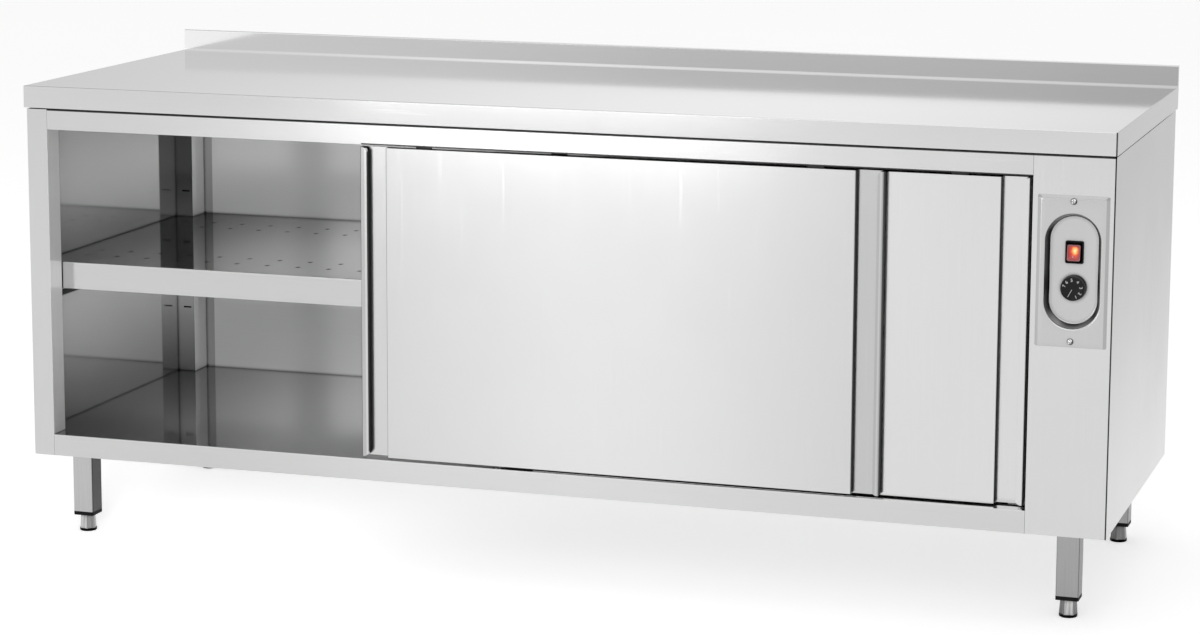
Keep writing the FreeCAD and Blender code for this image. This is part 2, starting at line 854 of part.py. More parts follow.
# Partition between the warm compartment and the controls, with the air inlet and outlet
fan_y = (body_front + body_back) / 2
fan_centre = (fan_y, s.fan_height)
sensor_y = body_front + s.capillary_inset
sensor_z = plate_centre_height - s.control_spacing / 2
partition = new_body("inner_partition")
partition_skin = (opening_right, casing_inner)
add_block(partition, partition_skin, (jamb_back, inner_back), (floor_top, inner_top))
cut_discs(partition, "x", [(fan_y, s.fan_height, s.grille_hole_radius)], *partition_skin)
for ring in range(1, GRILLE_RING_COUNT + 1):
    hole = [(ring * s.grille_ring_step, ZERO, s.grille_hole_radius)]
    feature = cut_discs(partition, "x", hole, *partition_skin, fan_centre)
    spin(partition, feature, ring * GRILLE_HOLES_PER_RING)
for sign in (-1, 1):
    first_height = s.fan_height - (OUTLET_COUNT - 1) / 2 * s.outlet_pitch
    sides = span(fan_y + sign * s.outlet_distance, s.outlet_length)
    slot = cut_block(partition, partition_skin, sides, span(first_height, s.outlet_height))
    repeat(partition, slot, "Z_Axis", (OUTLET_COUNT - 1) * s.outlet_pitch, OUTLET_COUNT)
sensor_hole = [(sensor_y, sensor_z, s.sensor_radius + s.sensor_clearance)]
cut_discs(partition, "x", sensor_hole, *partition_skin)


door_height = opening_top - floor_top - s.door_floor_gap - s.door_top_gap


def door_places(front, drop):
    """The front face, bottom height and track height of a sliding door."""
    bottom_z = floor_top + s.door_floor_gap - drop
    return front, bottom_z, bottom_z + door_height + s.ledge_height


front_door_face = body_front + s.door_setback
rear_door_face = front_door_face + s.door_spacing
DOORS = {
    "front": door_places(front_door_face, ZERO),
    "rear": door_places(rear_door_face, s.rear_door_drop),
}
opening_width = opening_right - opening_left
door_width = (opening_width + s.door_overlap) / 2 - s.door_end_gap
left_limit = opening_left + s.door_end_gap
right_limit = opening_right - s.door_end_gap
door_left = {"front": left_limit + s.front_door_shift, "rear": right_limit - s.rear_door_shift - door_width}

# Door track: a ledge for the rollers of each door, hung from one plate
track = new_body("door_track")
track_under = inner_top - s.track_sheet
track_front = front_door_face + s.ledge_offset
track_outline = [(track_front, inner_top), (track_front, track_under)]
for face, bottom_z, ledge in DOORS.values():
    web = face + s.track_web_offset
    edge = face + s.ledge_offset
    track_outline += [
        (web, track_under),
        (web, ledge),
        (edge + s.bead, ledge),
        (edge + s.bead, ledge + s.bead),
        (edge, ledge + s.bead),
        (edge, ledge - s.track_sheet),
        (web + s.track_sheet, ledge - s.track_sheet),
        (web + s.track_sheet, track_under),
    ]
track_outline[-1] = (rear_door_face + s.track_web_offset + s.track_sheet, inner_top)
add_prism(track, "x", track_outline, opening_left, opening_right)

# Rubber stops that end the run of the door rollers
stops = []
first_stop = left_limit + s.hanger_inset - s.roller_radius
last_stop = right_limit - s.hanger_inset + s.roller_radius
for name, (face, bottom_z, ledge) in DOORS.items():
    stop_y = (face + s.ledge_offset + s.bead, face + s.track_web_offset)
    stop_z = (ledge, ledge + s.stop_height)
    for side, x in (
        ("left", (first_stop - s.stop_length - s.stop_gap, first_stop - s.stop_gap)),
        ("right", (last_stop + s.stop_gap, last_stop + s.stop_length + s.stop_gap)),
    ):
        block(f"{name}_{side}_stop", x, stop_y, stop_z, stops)
group("track_end_stops", stops)

# Floor guide with a fin for the groove of each door
guide = new_body("door_floor_guide")
guide_x = span((opening_left + opening_right) / 2, s.guide_length)
guide_top = floor_top + s.guide_fin_height
add_block(
    guide,
    guide_x,
    (front_door_face, rear_door_face + s.door_thickness),
    (floor_top, floor_top + s.guide_base),
)
for face, bottom_z, ledge in DOORS.values():
    add_block(guide, guide_x, span(face + s.door_thickness / 2, s.guide_fin), (floor_top, guide_top))

# Sliding doors with their hangers and rollers
for name, (face, bottom_z, ledge) in DOORS.items():
    left = door_left[name]
    right = left + door_width
    top_z = bottom_z + door_height
    sheet_front = face + s.door_thickness - s.door_sheet
    pan_left = left + s.grip_lip_width + s.grip_recess_width
    pan_right = right - s.grip_lip_width - s.grip_recess_width
    middle = face + s.door_thickness / 2
    hanger_places = (left + s.hanger_inset, right - s.hanger_inset)
    plate_y = (face + s.hanger_depth, face + s.hanger_depth + s.hanger_plate)
    pan_inner = (pan_left + s.door_sheet, pan_right - s.door_sheet)
    pan_roof = top_z - s.door_sheet

    pan = new_body(f"{name}_door_panel")
    add_block(pan, (pan_left, pan_right), (face, sheet_front), (bottom_z, top_z))
    doc.recompute()
    fronts = edges_along(pan.Shape, "z", [(pan_left, face), (pan_right, face)])
    round_edges(pan, s.grip_bend_radius, fronts)
    cut_block(pan, pan_inner, (face + s.door_sheet, sheet_front), (bottom_z + s.door_sheet, pan_roof))
    groove_y = span(middle, s.guide_groove)
    cut_block(pan, (pan_left, pan_right), groove_y, (bottom_z, bottom_z + s.guide_groove_height))
    slot_y = (plate_y[0] - s.hanger_slot_gap, plate_y[1] + s.hanger_slot_gap)
    for x in hanger_places:
        cut_block(pan, span(x, s.hanger_width + 2 * s.hanger_slot_gap), slot_y, (pan_roof, top_z))

    skin = new_body(f"{name}_door_back")
    add_block(skin, (left, right), (sheet_front, face + s.door_thickness), (bottom_z, top_z))
    for outer, inner in ((left, left + s.grip_lip_width), (right, right - s.grip_lip_width)):
        lip = (left, inner) if outer is left else (inner, right)
        add_block(skin, lip, (face, sheet_front), (bottom_z, top_z))
    doc.recompute()
    lip_inners = (left + s.grip_lip_width, right - s.grip_lip_width)
    lip_corners = edges_along(skin.Shape, "y", [(x, z) for x in lip_inners for z in (bottom_z, top_z)])
    round_edges(skin, s.grip_corner_radius, lip_corners)
    doc.recompute()
    lip_fronts = edges_along(skin.Shape, "z", [(x, face) for x in (left, right)])
    round_edges(skin, s.grip_bend_radius, lip_fronts)
    for outer, sign in ((left, 1), (right, -1)):
        hollow = (outer + sign * s.door_sheet, outer + sign * (s.grip_lip_width - s.door_sheet))
        hollow_y = (face + s.door_sheet, sheet_front)
        hollow_z = (bottom_z + s.grip_end_length, top_z - s.grip_end_length)
        cut_block(skin, hollow[::sign], hollow_y, hollow_z)
        drain = span(outer + sign * s.grip_lip_width / 2, s.guide_groove)
        cut_block(skin, drain, groove_y, (bottom_z, hollow_z[0]))

    block(
        f"{name}_door_core",
        (pan_inner[0] + s.core_clearance, pan_inner[1] - s.core_clearance),
        (face + s.door_sheet, sheet_front),
        (bottom_z + s.core_bottom_gap, top_z - s.core_top_gap),
    )

    hangers = []
    roller_front = face + s.roller_offset
    roller_back = roller_front + s.roller_width
    axle_z = ledge + s.roller_lift + s.roller_radius
    hanger_top = axle_z + 2 * s.axle_radius
    foot_low = pan_roof - s.hanger_plate
    for side, x in zip(("left", "right"), hanger_places):
        hanger = new_body(f"{name}_{side}_hanger", hangers)
        hanger_x = span(x, s.hanger_width)
        add_block(hanger, hanger_x, plate_y, (foot_low, hanger_top))
        foot_y = (plate_y[0], plate_y[0] + s.hanger_foot_depth)
        add_block(hanger, hanger_x, foot_y, (foot_low, pan_roof))
        add_discs(hanger, "y", [(x, axle_z, s.axle_radius)], plate_y[1], roller_back + s.axle_end_gap)
        add_discs(
            hanger,
            "y",
            [(x, axle_z, s.axle_head_radius)],
            plate_y[1],
            roller_front - s.axle_end_gap,
        )
        head = roller_back + s.axle_end_gap
        add_discs(hanger, "y", [(x, axle_z, s.axle_head_radius)], head, head + s.axle_head)

        roller = new_body(f"{name}_door_roller_{side}")
        bore = s.axle_radius + s.axle_clearance
        add_discs(roller, "y", [(x, axle_z, s.roller_radius)], roller_front, roller_back)
        doc.recompute()
        rims = [f"Edge{i}" for i, edge in enumerate(roller.Shape.Edges, 1) if edge.Closed]
        bevel_edges(roller, s.roller_chamfer, rims)
        cut_discs(roller, "y", [(x, axle_z, bore)], roller_front, roller_back)
    group(f"{name}_door_hangers", hangers)

# Shelf: a folded tray turned upside down, notched round the rear posts
shelf_left = inner_left + s.shelf_side_gap
shelf_right = opening_right - s.sheet - s.shelf_clearance
shelf_front = jamb_back + s.shelf_front_gap
shelf_back = inner_back - s.shelf_clearance
shelf_skin_low = shelf_bottom + s.sheet
shelf_skin_high = s.shelf_top_height - s.sheet


def shelf_outline(inset):
    """The outline of the shelf, drawn in by an inset on every side."""
    notch_front = post_front - s.shelf_clearance - inset
    notch_left = left_post_right + s.shelf_clearance + inset
    notch_right = right_post_left - s.shelf_clearance - inset
    return [
        (shelf_left + inset, shelf_front + inset),
        (shelf_right - inset, shelf_front + inset),
        (shelf_right - inset, notch_front),
        (notch_right, notch_front),
        (notch_right, shelf_back - inset),
        (notch_left, shelf_back - inset),
        (notch_left, notch_front),
        (shelf_left + inset, notch_front),
    ]


shelf = new_body("shelf")
add_prism(shelf, "z", shelf_outline(ZERO), shelf_bottom, s.shelf_top_height)
doc.recompute()
round_edges(shelf, s.bend_radius, edges_along(shelf.Shape, "x", [(shelf_front, s.shelf_top_height)]))
cut_prism(shelf, "z", shelf_outline(s.sheet), shelf_skin_low, shelf_skin_high)
cut_prism(shelf, "z", shelf_outline(s.sheet + s.shelf_lip), shelf_bottom, shelf_skin_low)
hole_x = inner_left + s.hole_left_inset
hole_run = opening_right - s.hole_right_inset - hole_x
row_places = [
    shelf_front + s.front_hole_row_inset,
    shelf_front + s.front_hole_row_inset + s.hole_row_spacing,
    shelf_back - s.back_hole_row_inset - s.hole_row_spacing,
    shelf_back - s.back_hole_row_inset,
]
shelf_holes = [(hole_x, y, s.hole_radius) for y in row_places]
column = cut_discs(shelf, "z", shelf_holes, shelf_skin_high, s.shelf_top_height)
repeat(shelf, column, "X_Axis", hole_run, SHELF_HOLE_COLUMNS)

# Shelf supports hooked into the slots of the posts
tab_low = slot_height - s.hook_slot_height / 2
tab_top = tab_low + s.worktop_sheet
for side, slot, sign in (("left", left_slot, -1), ("right", right_slot, 1)):
    support = new_body(f"shelf_support_{side}")
    edge = slot + sign * s.hook_width / 2
    end = slot + sign * (s.hook_slot_inset - s.sheet - s.shelf_clearance)
    other = slot - sign * s.hook_width / 2
    support_outline = [
        (other, tab_low),
        (edge, tab_low),
        (edge, shelf_bottom - s.worktop_sheet),
        (end, shelf_bottom - s.worktop_sheet),
        (end, shelf_bottom),
        (edge - sign * s.worktop_sheet, shelf_bottom),
        (edge - sign * s.worktop_sheet, tab_top),
        (other, tab_top),
    ]
    support_y = (jamb_back + s.hook_gap, post_front - s.hook_gap)
    add_prism(support, "y", support_outline, *support_y)
    hooks_y = (jamb_back - s.hook_reach, post_front + s.hook_reach)
    add_block(support, span(slot, s.hook_width), hooks_y, (tab_low, tab_top))


def place_at(item, x, y, z, axis=(0, 0, 1), degrees=0):
    """Stand an item drawn about its own origin at three sizes, turned about an axis."""
    item.Placement.Rotation = FreeCAD.Rotation(FreeCAD.Vector(*axis), degrees)
    for name, size in (("x", x), ("y", y), ("z", z)):
        bind(item, f"Placement.Base.{name}", size)


def hexagon(radius):
    """The corners of a hexagon about the origin."""
    turns = [2 * math.pi * (corner + 0.5) / HEXAGON_SIDES for corner in range(HEXAGON_SIDES)]
    return [(radius * math.sin(turn), radius * math.cos(turn)) for turn in turns]


def add_loft(body, draws, kind):
    """A loft through drawings, each on a sketch of its own."""
    loft = body.newObject(kind, "loft")
    sketches = []
    for axis, offset, draw, centre in draws:
        sketch = new_sketch(body, axis, offset, centre)
        draw(sketch)
        sketches.append(sketch)
    loft.Profile = sketches[0]
    loft.Sections = sketches[1:]
    return loft


def add_pipe(body, axis, offset, centre, leg, radius):
    """A round pipe that runs along two straight lines joined by a bend.

    The pipe starts at the sketch's origin along the sketch's y, bends, and goes on along x.
    """
    up, bend, along = leg
    path = new_sketch(body, axis, offset, centre)
    sign = 1 if along.value > 0 else -1
    corner = (sign * bend, up)
    first = path.addGeometry(
        Part.LineSegment(FreeCAD.Vector(0, 0, 0), FreeCAD.Vector(0, up.value, 0)), False
    )
    circle = Part.Circle(FreeCAD.Vector(corner[0].value, up.value, 0), FreeCAD.Vector(0, 0, 1), bend.value)
    turn = math.pi / 2 if sign > 0 else 0
    arc = path.addGeometry(Part.ArcOfCircle(circle, turn, turn + math.pi / 2), False)
    top = up.value + bend.value
    last = path.addGeometry(
        Part.LineSegment(
            FreeCAD.Vector(corner[0].value, top, 0), FreeCAD.Vector(along.value, top, 0)
        ),
        False,
    )
    start, end, middle = SketchPoint
    origin = (SketchItem.ORIGIN, start)
    near, far = (end, start) if sign > 0 else (start, end)
    path.addConstraint(Sketcher.Constraint("Coincident", first, start, *origin))
    path.addConstraint(Sketcher.Constraint("Vertical", first))
    path.addConstraint(Sketcher.Constraint("Coincident", first, end, arc, near))
    path.addConstraint(Sketcher.Constraint("Coincident", arc, far, last, start))
    path.addConstraint(Sketcher.Constraint("Horizontal", last))
    pin_point(path, arc, middle, *corner)
    path.addConstraint(Sketcher.Constraint("Horizontal", arc, near, arc, middle))
    path.addConstraint(Sketcher.Constraint("Vertical", arc, far, arc, middle))
    index = path.addConstraint(Sketcher.Constraint("DistanceX", *origin, last, end, along.value))
    path.setExpression(f"Constraints[{index}]", along.text)
    section_axis = {"x": "z", "z": "y"}[axis]
    section_centre, section_offset = {
        "x": ((offset, centre[0]), centre[1]),
        "z": ((centre[0], offset), centre[1]),
    }[axis]
    section = new_sketch(body, section_axis, section_offset, section_centre)
    draw_circle(section, ZERO, ZERO, radius)
    pipe = body.newObject("PartDesign::AdditivePipe", "pipe")
    pipe.Profile = section
    pipe.Spine = path
    return pipe


# Legs with their plates, studs, inserts and levelling feet
leg_depth = s.leg_width / 2
leg_places = {
    f"{end}_{side}": (x, y)
    for end, y in (
        ("front", body_front + s.leg_front_inset + leg_depth),
        ("rear", body_back - s.leg_back_inset - leg_depth),
    )
    for side, x in (
        ("left", body_left + s.leg_left_inset + leg_depth),
        ("right", body_right - s.leg_right_inset - leg_depth),
    )
}
plate_low = floor_bottom - s.leg_plate
leg_hollow = s.leg_width - 2 * s.leg_wall
insert_bottom = s.leg_tube_bottom - s.insert_collar
stud_hole = s.stud_radius + s.stud_clearance
studs = []
inserts = []
for name, (x, y) in leg_places.items():
    leg = new_body(f"{name}_leg")
    add_block(leg, span(x, s.leg_width), span(y, s.leg_width), (s.leg_tube_bottom, plate_low))
    doc.recompute()
    leg_corners = [(a, b) for a in span(x, s.leg_width) for b in span(y, s.leg_width)]
    round_edges(leg, s.leg_corner_radius, edges_along(leg.Shape, "z", leg_corners))
    add_block(leg, span(x, s.leg_plate_width), span(y, s.leg_plate_width), (plate_low, floor_bottom))
    cut_block(leg, span(x, leg_hollow), span(y, leg_hollow), (s.leg_tube_bottom, plate_low))
    stud_spread = s.leg_plate_width - 2 * s.leg_bolt_inset
    stud_places = [(a, b) for a in span(x, stud_spread) for b in span(y, stud_spread)]
    cut_discs(leg, "z", [(a, b, stud_hole) for a, b in stud_places], plate_low, floor_bottom)

    for number, (a, b) in enumerate(stud_places, start=1):
        stud = new_body(f"{name}_stud_{number}", studs)
        add_discs(stud, "z", [(ZERO, ZERO, s.stud_radius)], -s.stud_length, ZERO)
        add_prism(stud, "z", hexagon(s.nut_radius), -s.leg_plate - s.nut_height, -s.leg_plate)
        place_at(stud, a, b, floor_bottom)

    insert = new_body(f"{name}_leg_insert", inserts)
    plug_width = leg_hollow - 2 * s.insert_clearance
    plug_top = s.leg_tube_bottom + s.insert_depth
    bore = s.spindle_radius + s.spindle_clearance
    add_block(insert, span(x, s.leg_width), span(y, s.leg_width), (insert_bottom, s.leg_tube_bottom))
    doc.recompute()
    round_edges(insert, s.leg_corner_radius, edges_along(insert.Shape, "z", leg_corners))
    add_block(insert, span(x, plug_width), span(y, plug_width), (s.leg_tube_bottom, plug_top))
    cut_discs(insert, "z", [(x, y, bore)], insert_bottom, plug_top)

    foot = new_body(f"{name}_levelling_foot")
    sleeve_top = insert_bottom - s.foot_gap
    hexagon_low = (
        "z",
        s.foot_pad_height,
        lambda sketch: draw_outline(sketch, hexagon(s.foot_bottom_radius)),
        (ZERO, ZERO),
    )
    hexagon_high = (
        "z",
        sleeve_top,
        lambda sketch: draw_outline(sketch, hexagon(s.foot_top_radius)),
        (ZERO, ZERO),
    )
    add_loft(foot, [hexagon_low, hexagon_high], "PartDesign::AdditiveLoft")
    add_discs(foot, "z", [(ZERO, ZERO, s.foot_bottom_radius)], ZERO, s.foot_pad_height)
    doc.recompute()
    rim = [
        f"Edge{number}"
        for number, edge in enumerate(foot.Shape.Edges, start=1)
        if edge.Closed and is_near(edge.BoundBox.ZMax, ZERO)
    ]
    bevel_edges(foot, s.foot_pad_chamfer, rim)
    add_discs(foot, "z", [(ZERO, ZERO, s.spindle_radius)], sleeve_top, sleeve_top + s.spindle_length)
    angle = f"{name}_foot_degrees"
    place_at(foot, x, y, ZERO, (0, 0, 1), ANGLES[angle])
    bind(foot, "Placement.Rotation.Angle", getattr(s, angle))
group("leg_studs", studs)
group("leg_inserts", inserts)


def screw(label, x, y, z, degrees, members, recessed):
    """A round-headed screw, drawn with its head above its own origin."""
    body = new_body(label, members)
    add_discs(body, "z", [(ZERO, ZERO, s.screw_head_radius)], ZERO, s.screw_head_height)
    doc.recompute()
    rim = [
        f"Edge{number}"
        for number, edge in enumerate(body.Shape.Edges, start=1)
        if edge.Closed and is_near(edge.BoundBox.ZMin, s.screw_head_height)
    ]
    round_edges(body, s.screw_dome_radius, rim)
    if recessed:
        recess = (s.screw_head_height - s.recess_depth, s.screw_head_height)
        for length, width in ((s.recess_length, s.recess_width), (s.recess_width, s.recess_length)):
            cut_block(body, span(ZERO, length), span(ZERO, width), recess)
    add_discs(body, "z", [(ZERO, ZERO, s.screw_radius)], -s.screw_length, ZERO)
    place_at(body, x, y, z, (1, 0, 0), degrees)


panel_screws = []
for number, (x, y) in enumerate(worktop_screw_places, start=1):
    screw(f"worktop_screw_{number}", x, y, inner_top, HALF_TURN_DEGREES, panel_screws, False)
for number, (x, z) in enumerate(service_screw_places, start=1):
    y = body_back + s.sheet
    screw(f"service_screw_{number}", x, y, z, -QUARTER_TURN_DEGREES, panel_screws, False)
group("panel_screws", panel_screws)

# Control plate with its deep well
plate_front = body_front - s.plate_thickness
well_floor_front = plate_front + s.well_depth
well_floor_back = well_floor_front + s.well_sheet
well_taper = s.well_width - s.well_floor_width
switch_z = plate_centre_height + s.control_spacing / 2
knob_z = plate_centre_height - s.control_spacing / 2


def stadium(width, height):
    """A drawing of an upright stadium about the sketch's own origin."""
    return lambda sketch: draw_stadium(sketch, ZERO, ZERO, width, height)


plate_centre = (casing_centre, plate_centre_height)
plate = new_body("control_plate")
add_block(plate, span(casing_centre, s.plate_width), (plate_front, body_front), plate_height_span)
doc.recompute()
plate_corners = [(x, y) for x in span(casing_centre, s.plate_width) for y in plate_height_span]
round_edges(plate, s.plate_corner_radius, edges_along(plate.Shape, "y", plate_corners))
doc.recompute()
plate_rim = [
    f"Edge{number}"
    for number, edge in enumerate(plate.Shape.Edges, start=1)
    if is_near(edge.BoundBox.YMin, plate_front) and is_near(edge.BoundBox.YMax, plate_front)
]
bevel_edges(plate, s.plate_bevel, plate_rim)
outer_well = [
    ("y", body_front, stadium(s.well_width, s.well_height), plate_centre),
    (
        "y",
        well_floor_back,
        stadium(s.well_floor_width + 2 * s.well_sheet, s.well_height - well_taper + 2 * s.well_sheet),
        plate_centre,
    ),
]
inner_well = [
    ("y", plate_front, stadium(s.well_width, s.well_height), plate_centre),
    ("y", well_floor_front, stadium(s.well_floor_width, s.well_height - well_taper), plate_centre),
]
add_loft(plate, outer_well, "PartDesign::AdditiveLoft")
add_loft(plate, inner_well, "PartDesign::SubtractiveLoft")
neck_hole = s.thermostat_neck_radius + s.thermostat_neck_clearance
cut_discs(plate, "y", [(casing_centre, knob_z, neck_hole)], well_floor_front, well_floor_back)
switch_body_width = s.switch_width - 2 * s.switch_body_inset
switch_body_height = s.switch_height - 2 * s.switch_body_inset
switch_hole = (span(casing_centre, switch_body_width), span(switch_z, switch_body_height))
cut_block(plate, switch_hole[0], (well_floor_front, well_floor_back), switch_hole[1])
plate_holes = [(casing_centre, z, s.screw_radius + s.screw_clearance) for z in plate_screw_heights]
cut_discs(plate, "y", plate_holes, plate_front, body_front)

plate_screws = []
for side, z in zip(("lower", "upper"), plate_screw_heights):
    screw(f"{side}_plate_screw", casing_centre, plate_front, z, QUARTER_TURN_DEGREES, plate_screws, True)
group("control_plate_screws", plate_screws)

# Rocker switch
bezel_front = well_floor_front - s.switch_bezel
pivot_y = well_floor_front + s.rocker_pivot_depth
housing = new_body("switch_housing")
housing_back = well_floor_front + s.switch_body_depth
add_block(
    housing,
    span(casing_centre, s.switch_width),
    (bezel_front, well_floor_front),
    span(switch_z, s.switch_height),
)
add_block(housing, switch_hole[0], (well_floor_front, housing_back), switch_hole[1])
drum_room = s.rocker_radius + s.rocker_gap
rocker_room = span(casing_centre, s.rocker_width + 2 * s.rocker_gap)
cut_block(housing, rocker_room, (bezel_front, pivot_y + drum_room), span(switch_z, 2 * drum_room))
pin_hole = s.rocker_pin_radius + s.rocker_pin_clearance
pin_reach = s.rocker_width / 2 + s.rocker_pin_length
pin_room = span(casing_centre, 2 * (pin_reach + s.rocker_pin_clearance))
cut_discs(housing, "x", [(pivot_y, switch_z, pin_hole)], *pin_room)

rocker = new_body("power_rocker")
add_discs(rocker, "x", [(ZERO, ZERO, s.rocker_radius)], *span(ZERO, s.rocker_width))
rise = math.tan(math.radians(ANGLES["rocker_face_degrees"]))
valley = s.switch_bezel + s.rocker_pivot_depth
face_out = valley + s.rocker_radius * rise
rocker_cut = [
    (-2 * s.rocker_radius, -s.rocker_radius),
    (-face_out, -s.rocker_radius),
    (-valley, ZERO),
    (-face_out, s.rocker_radius),
    (-2 * s.rocker_radius, s.rocker_radius),
]
cut_prism(rocker, "x", rocker_cut, *span(ZERO, s.rocker_width))
add_discs(rocker, "x", [(ZERO, ZERO, s.rocker_pin_radius)], -pin_reach, pin_reach)
place_at(rocker, casing_centre, pivot_y, switch_z, (-1, 0, 0), ANGLES["rocker_face_degrees"])
bind(rocker, "Placement.Rotation.Angle", s.rocker_face_degrees)

# Thermostat with its spindle, knob and sensor
thermostat_back = well_floor_back + s.thermostat_depth
spindle_end = well_floor_front - s.knob_gap - s.knob_bore_depth
spindle_back = spindle_end + s.knob_spindle_length
thermostat = new_body("thermostat_body")
add_discs(
    thermostat,
    "y",
    [(casing_centre, knob_z, s.thermostat_neck_radius)],
    well_floor_front,
    well_floor_back,
)
add_block(
    thermostat,
    span(casing_centre, s.thermostat_width),
    (well_floor_back, thermostat_back),
    span(knob_z, s.thermostat_width),
)
spindle_room = s.knob_spindle_radius + s.knob_spindle_clearance
cut_discs(
    thermostat,
    "y",
    [(casing_centre, knob_z, spindle_room)],
    well_floor_front,
    spindle_back + s.knob_spindle_clearance,
)

spindle = new_body("thermostat_spindle")
add_discs(spindle, "y", [(casing_centre, knob_z, s.knob_spindle_radius)], spindle_end, spindle_back)

knob = new_body("thermostat_knob")
knob_back = -s.knob_gap
knob_front = knob_back - s.knob_height
add_discs(knob, "y", [(ZERO, ZERO, s.knob_radius)], knob_front, knob_back)
doc.recompute()
knob_rim = [
    f"Edge{number}"
    for number, edge in enumerate(knob.Shape.Edges, start=1)
    if edge.Closed and is_near(edge.BoundBox.YMax, knob_front)
]
round_edges(knob, s.knob_edge_radius, knob_rim)
pointer_top = s.knob_radius - 2 * s.knob_edge_radius
cut_block(
    knob,
    span(ZERO, s.pointer_width),
    (knob_front, knob_front + s.pointer_depth),
    (pointer_top - s.pointer_length, pointer_top),
)
cut_discs(
    knob,
    "y",
    [(ZERO, ZERO, s.knob_spindle_radius)],
    knob_back - s.knob_bore_depth,
    knob_back,
)
place_at(knob, casing_centre, well_floor_front, knob_z, (0, 1, 0), ANGLES["pointer_degrees"])
bind(knob, "Placement.Rotation.Angle", s.pointer_degrees)

sensor = new_body("thermostat_sensor")
sensor_out = casing_centre - opening_right + s.sensor_length
sensor_leg = (sensor_y - thermostat_back - s.capillary_bend, s.capillary_bend, -sensor_out)
sensor_start = (casing_centre, thermostat_back)
add_pipe(sensor, "z", sensor_z, sensor_start, sensor_leg, s.capillary_radius)
bulb_end = casing_centre - sensor_out
sensor_axis = (sensor_y, sensor_z)
add_discs(sensor, "x", [(*sensor_axis, s.sensor_radius)], bulb_end, casing_inner)
gland_range = (casing_inner, casing_inner + s.sensor_gland_length)
add_discs(sensor, "x", [(*sensor_axis, s.sensor_gland_radius)], *gland_range)

# Heater box with the ring element, the impeller, the motor and the overheat limiter
box_wall = casing_inner + s.heater_box_depth
heater_box = new_body("heater_box")
box_y = span(fan_y, s.heater_box_width)
box_z = span(s.fan_height, s.heater_box_height)
hollow_y = span(fan_y, s.heater_box_width - 2 * s.sheet)
hollow_z = span(s.fan_height, s.heater_box_height - 2 * s.sheet)
add_block(heater_box, (casing_inner, box_wall), box_y, box_z)
cut_block(heater_box, (casing_inner, box_wall - s.sheet), hollow_y, hollow_z)
shaft_room = s.motor_shaft_radius + s.motor_shaft_clearance
lead_z = s.fan_height - s.element_ring_radius
lead_places = [(y, lead_z) for y in span(fan_y, s.element_lead_spacing)]
lead_room = s.element_radius + s.element_clearance
box_holes = [(*fan_centre, shaft_room), *[(*place, lead_room) for place in lead_places]]
cut_discs(heater_box, "x", box_holes, box_wall - s.sheet, box_wall)

element = new_body("heating_element")
element_x = casing_inner + s.element_offset
ring_sketch = new_sketch(element, "z", s.fan_height, (element_x, fan_y))
draw_circle(ring_sketch, ZERO, s.element_ring_radius, s.element_radius)
ring = element.newObject("PartDesign::Revolution", "ring")
ring.Profile = ring_sketch
ring.ReferenceAxis = (ring_sketch, ["H_Axis"])
for place in lead_places:
    add_discs(element, "x", [(*place, s.element_radius)], element_x, box_wall + s.element_lead)

impeller = new_body("fan_impeller")
impeller_left = casing_inner + s.impeller_offset
impeller_right = impeller_left + s.impeller_width
impeller_axis = [(ZERO, ZERO, s.impeller_radius)]
ring_circles = [(ZERO, ZERO, s.impeller_radius), (ZERO, ZERO, s.impeller_inner_radius)]
add_discs(impeller, "x", impeller_axis, impeller_right - s.impeller_plate, impeller_right, fan_centre)
add_discs(impeller, "x", ring_circles, impeller_left, impeller_left + s.impeller_plate, fan_centre)
blade_outline = rectangle(
    span(ZERO, s.impeller_blade),
    (s.impeller_inner_radius + s.impeller_blade, s.impeller_radius - s.impeller_blade),
)
blade = extrude(
    impeller,
    "x",
    lambda sketch: draw_outline(sketch, blade_outline),
    impeller_left,
    impeller_right,
    False,
    fan_centre,
)
spin(impeller, blade, IMPELLER_BLADE_COUNT)
hub = [(ZERO, ZERO, s.impeller_hub_radius)]
add_discs(impeller, "x", hub, impeller_left, impeller_right, fan_centre)
motor_front = box_wall + s.motor_plate
shaft = [(ZERO, ZERO, s.motor_shaft_radius)]
shaft_end = motor_front + s.motor_length / 2
add_discs(impeller, "x", shaft, impeller_right, shaft_end, fan_centre)

motor = new_body("fan_motor")
motor_back = motor_front + s.motor_length
motor_plate_y = span(fan_y, s.motor_plate_width)
motor_plate_z = span(s.fan_height, s.motor_plate_width)
add_block(motor, (box_wall, motor_front), motor_plate_y, motor_plate_z)
add_discs(motor, "x", [(*fan_centre, s.motor_radius)], motor_front, motor_back)
cap_end = motor_back + s.motor_cap_length
add_discs(motor, "x", [(*fan_centre, s.motor_cap_radius)], motor_back, cap_end)
bearing = s.motor_shaft_radius + s.spindle_clearance
cut_discs(motor, "x", [(*fan_centre, bearing)], box_wall, shaft_end + s.motor_shaft_clearance)

limiter = new_body("overheat_limiter")
limiter_place = (fan_y - s.limiter_offset, s.fan_height)
limiter_end = box_wall + s.limiter_height
add_discs(limiter, "x", [(*limiter_place, s.limiter_radius)], box_wall, limiter_end)
for y in span(limiter_place[0], s.limiter_radius):
    add_block(
        limiter,
        (limiter_end, limiter_end + s.limiter_height),
        span(y, s.sheet),
        span(limiter_place[1], s.limiter_radius / 2),
    )

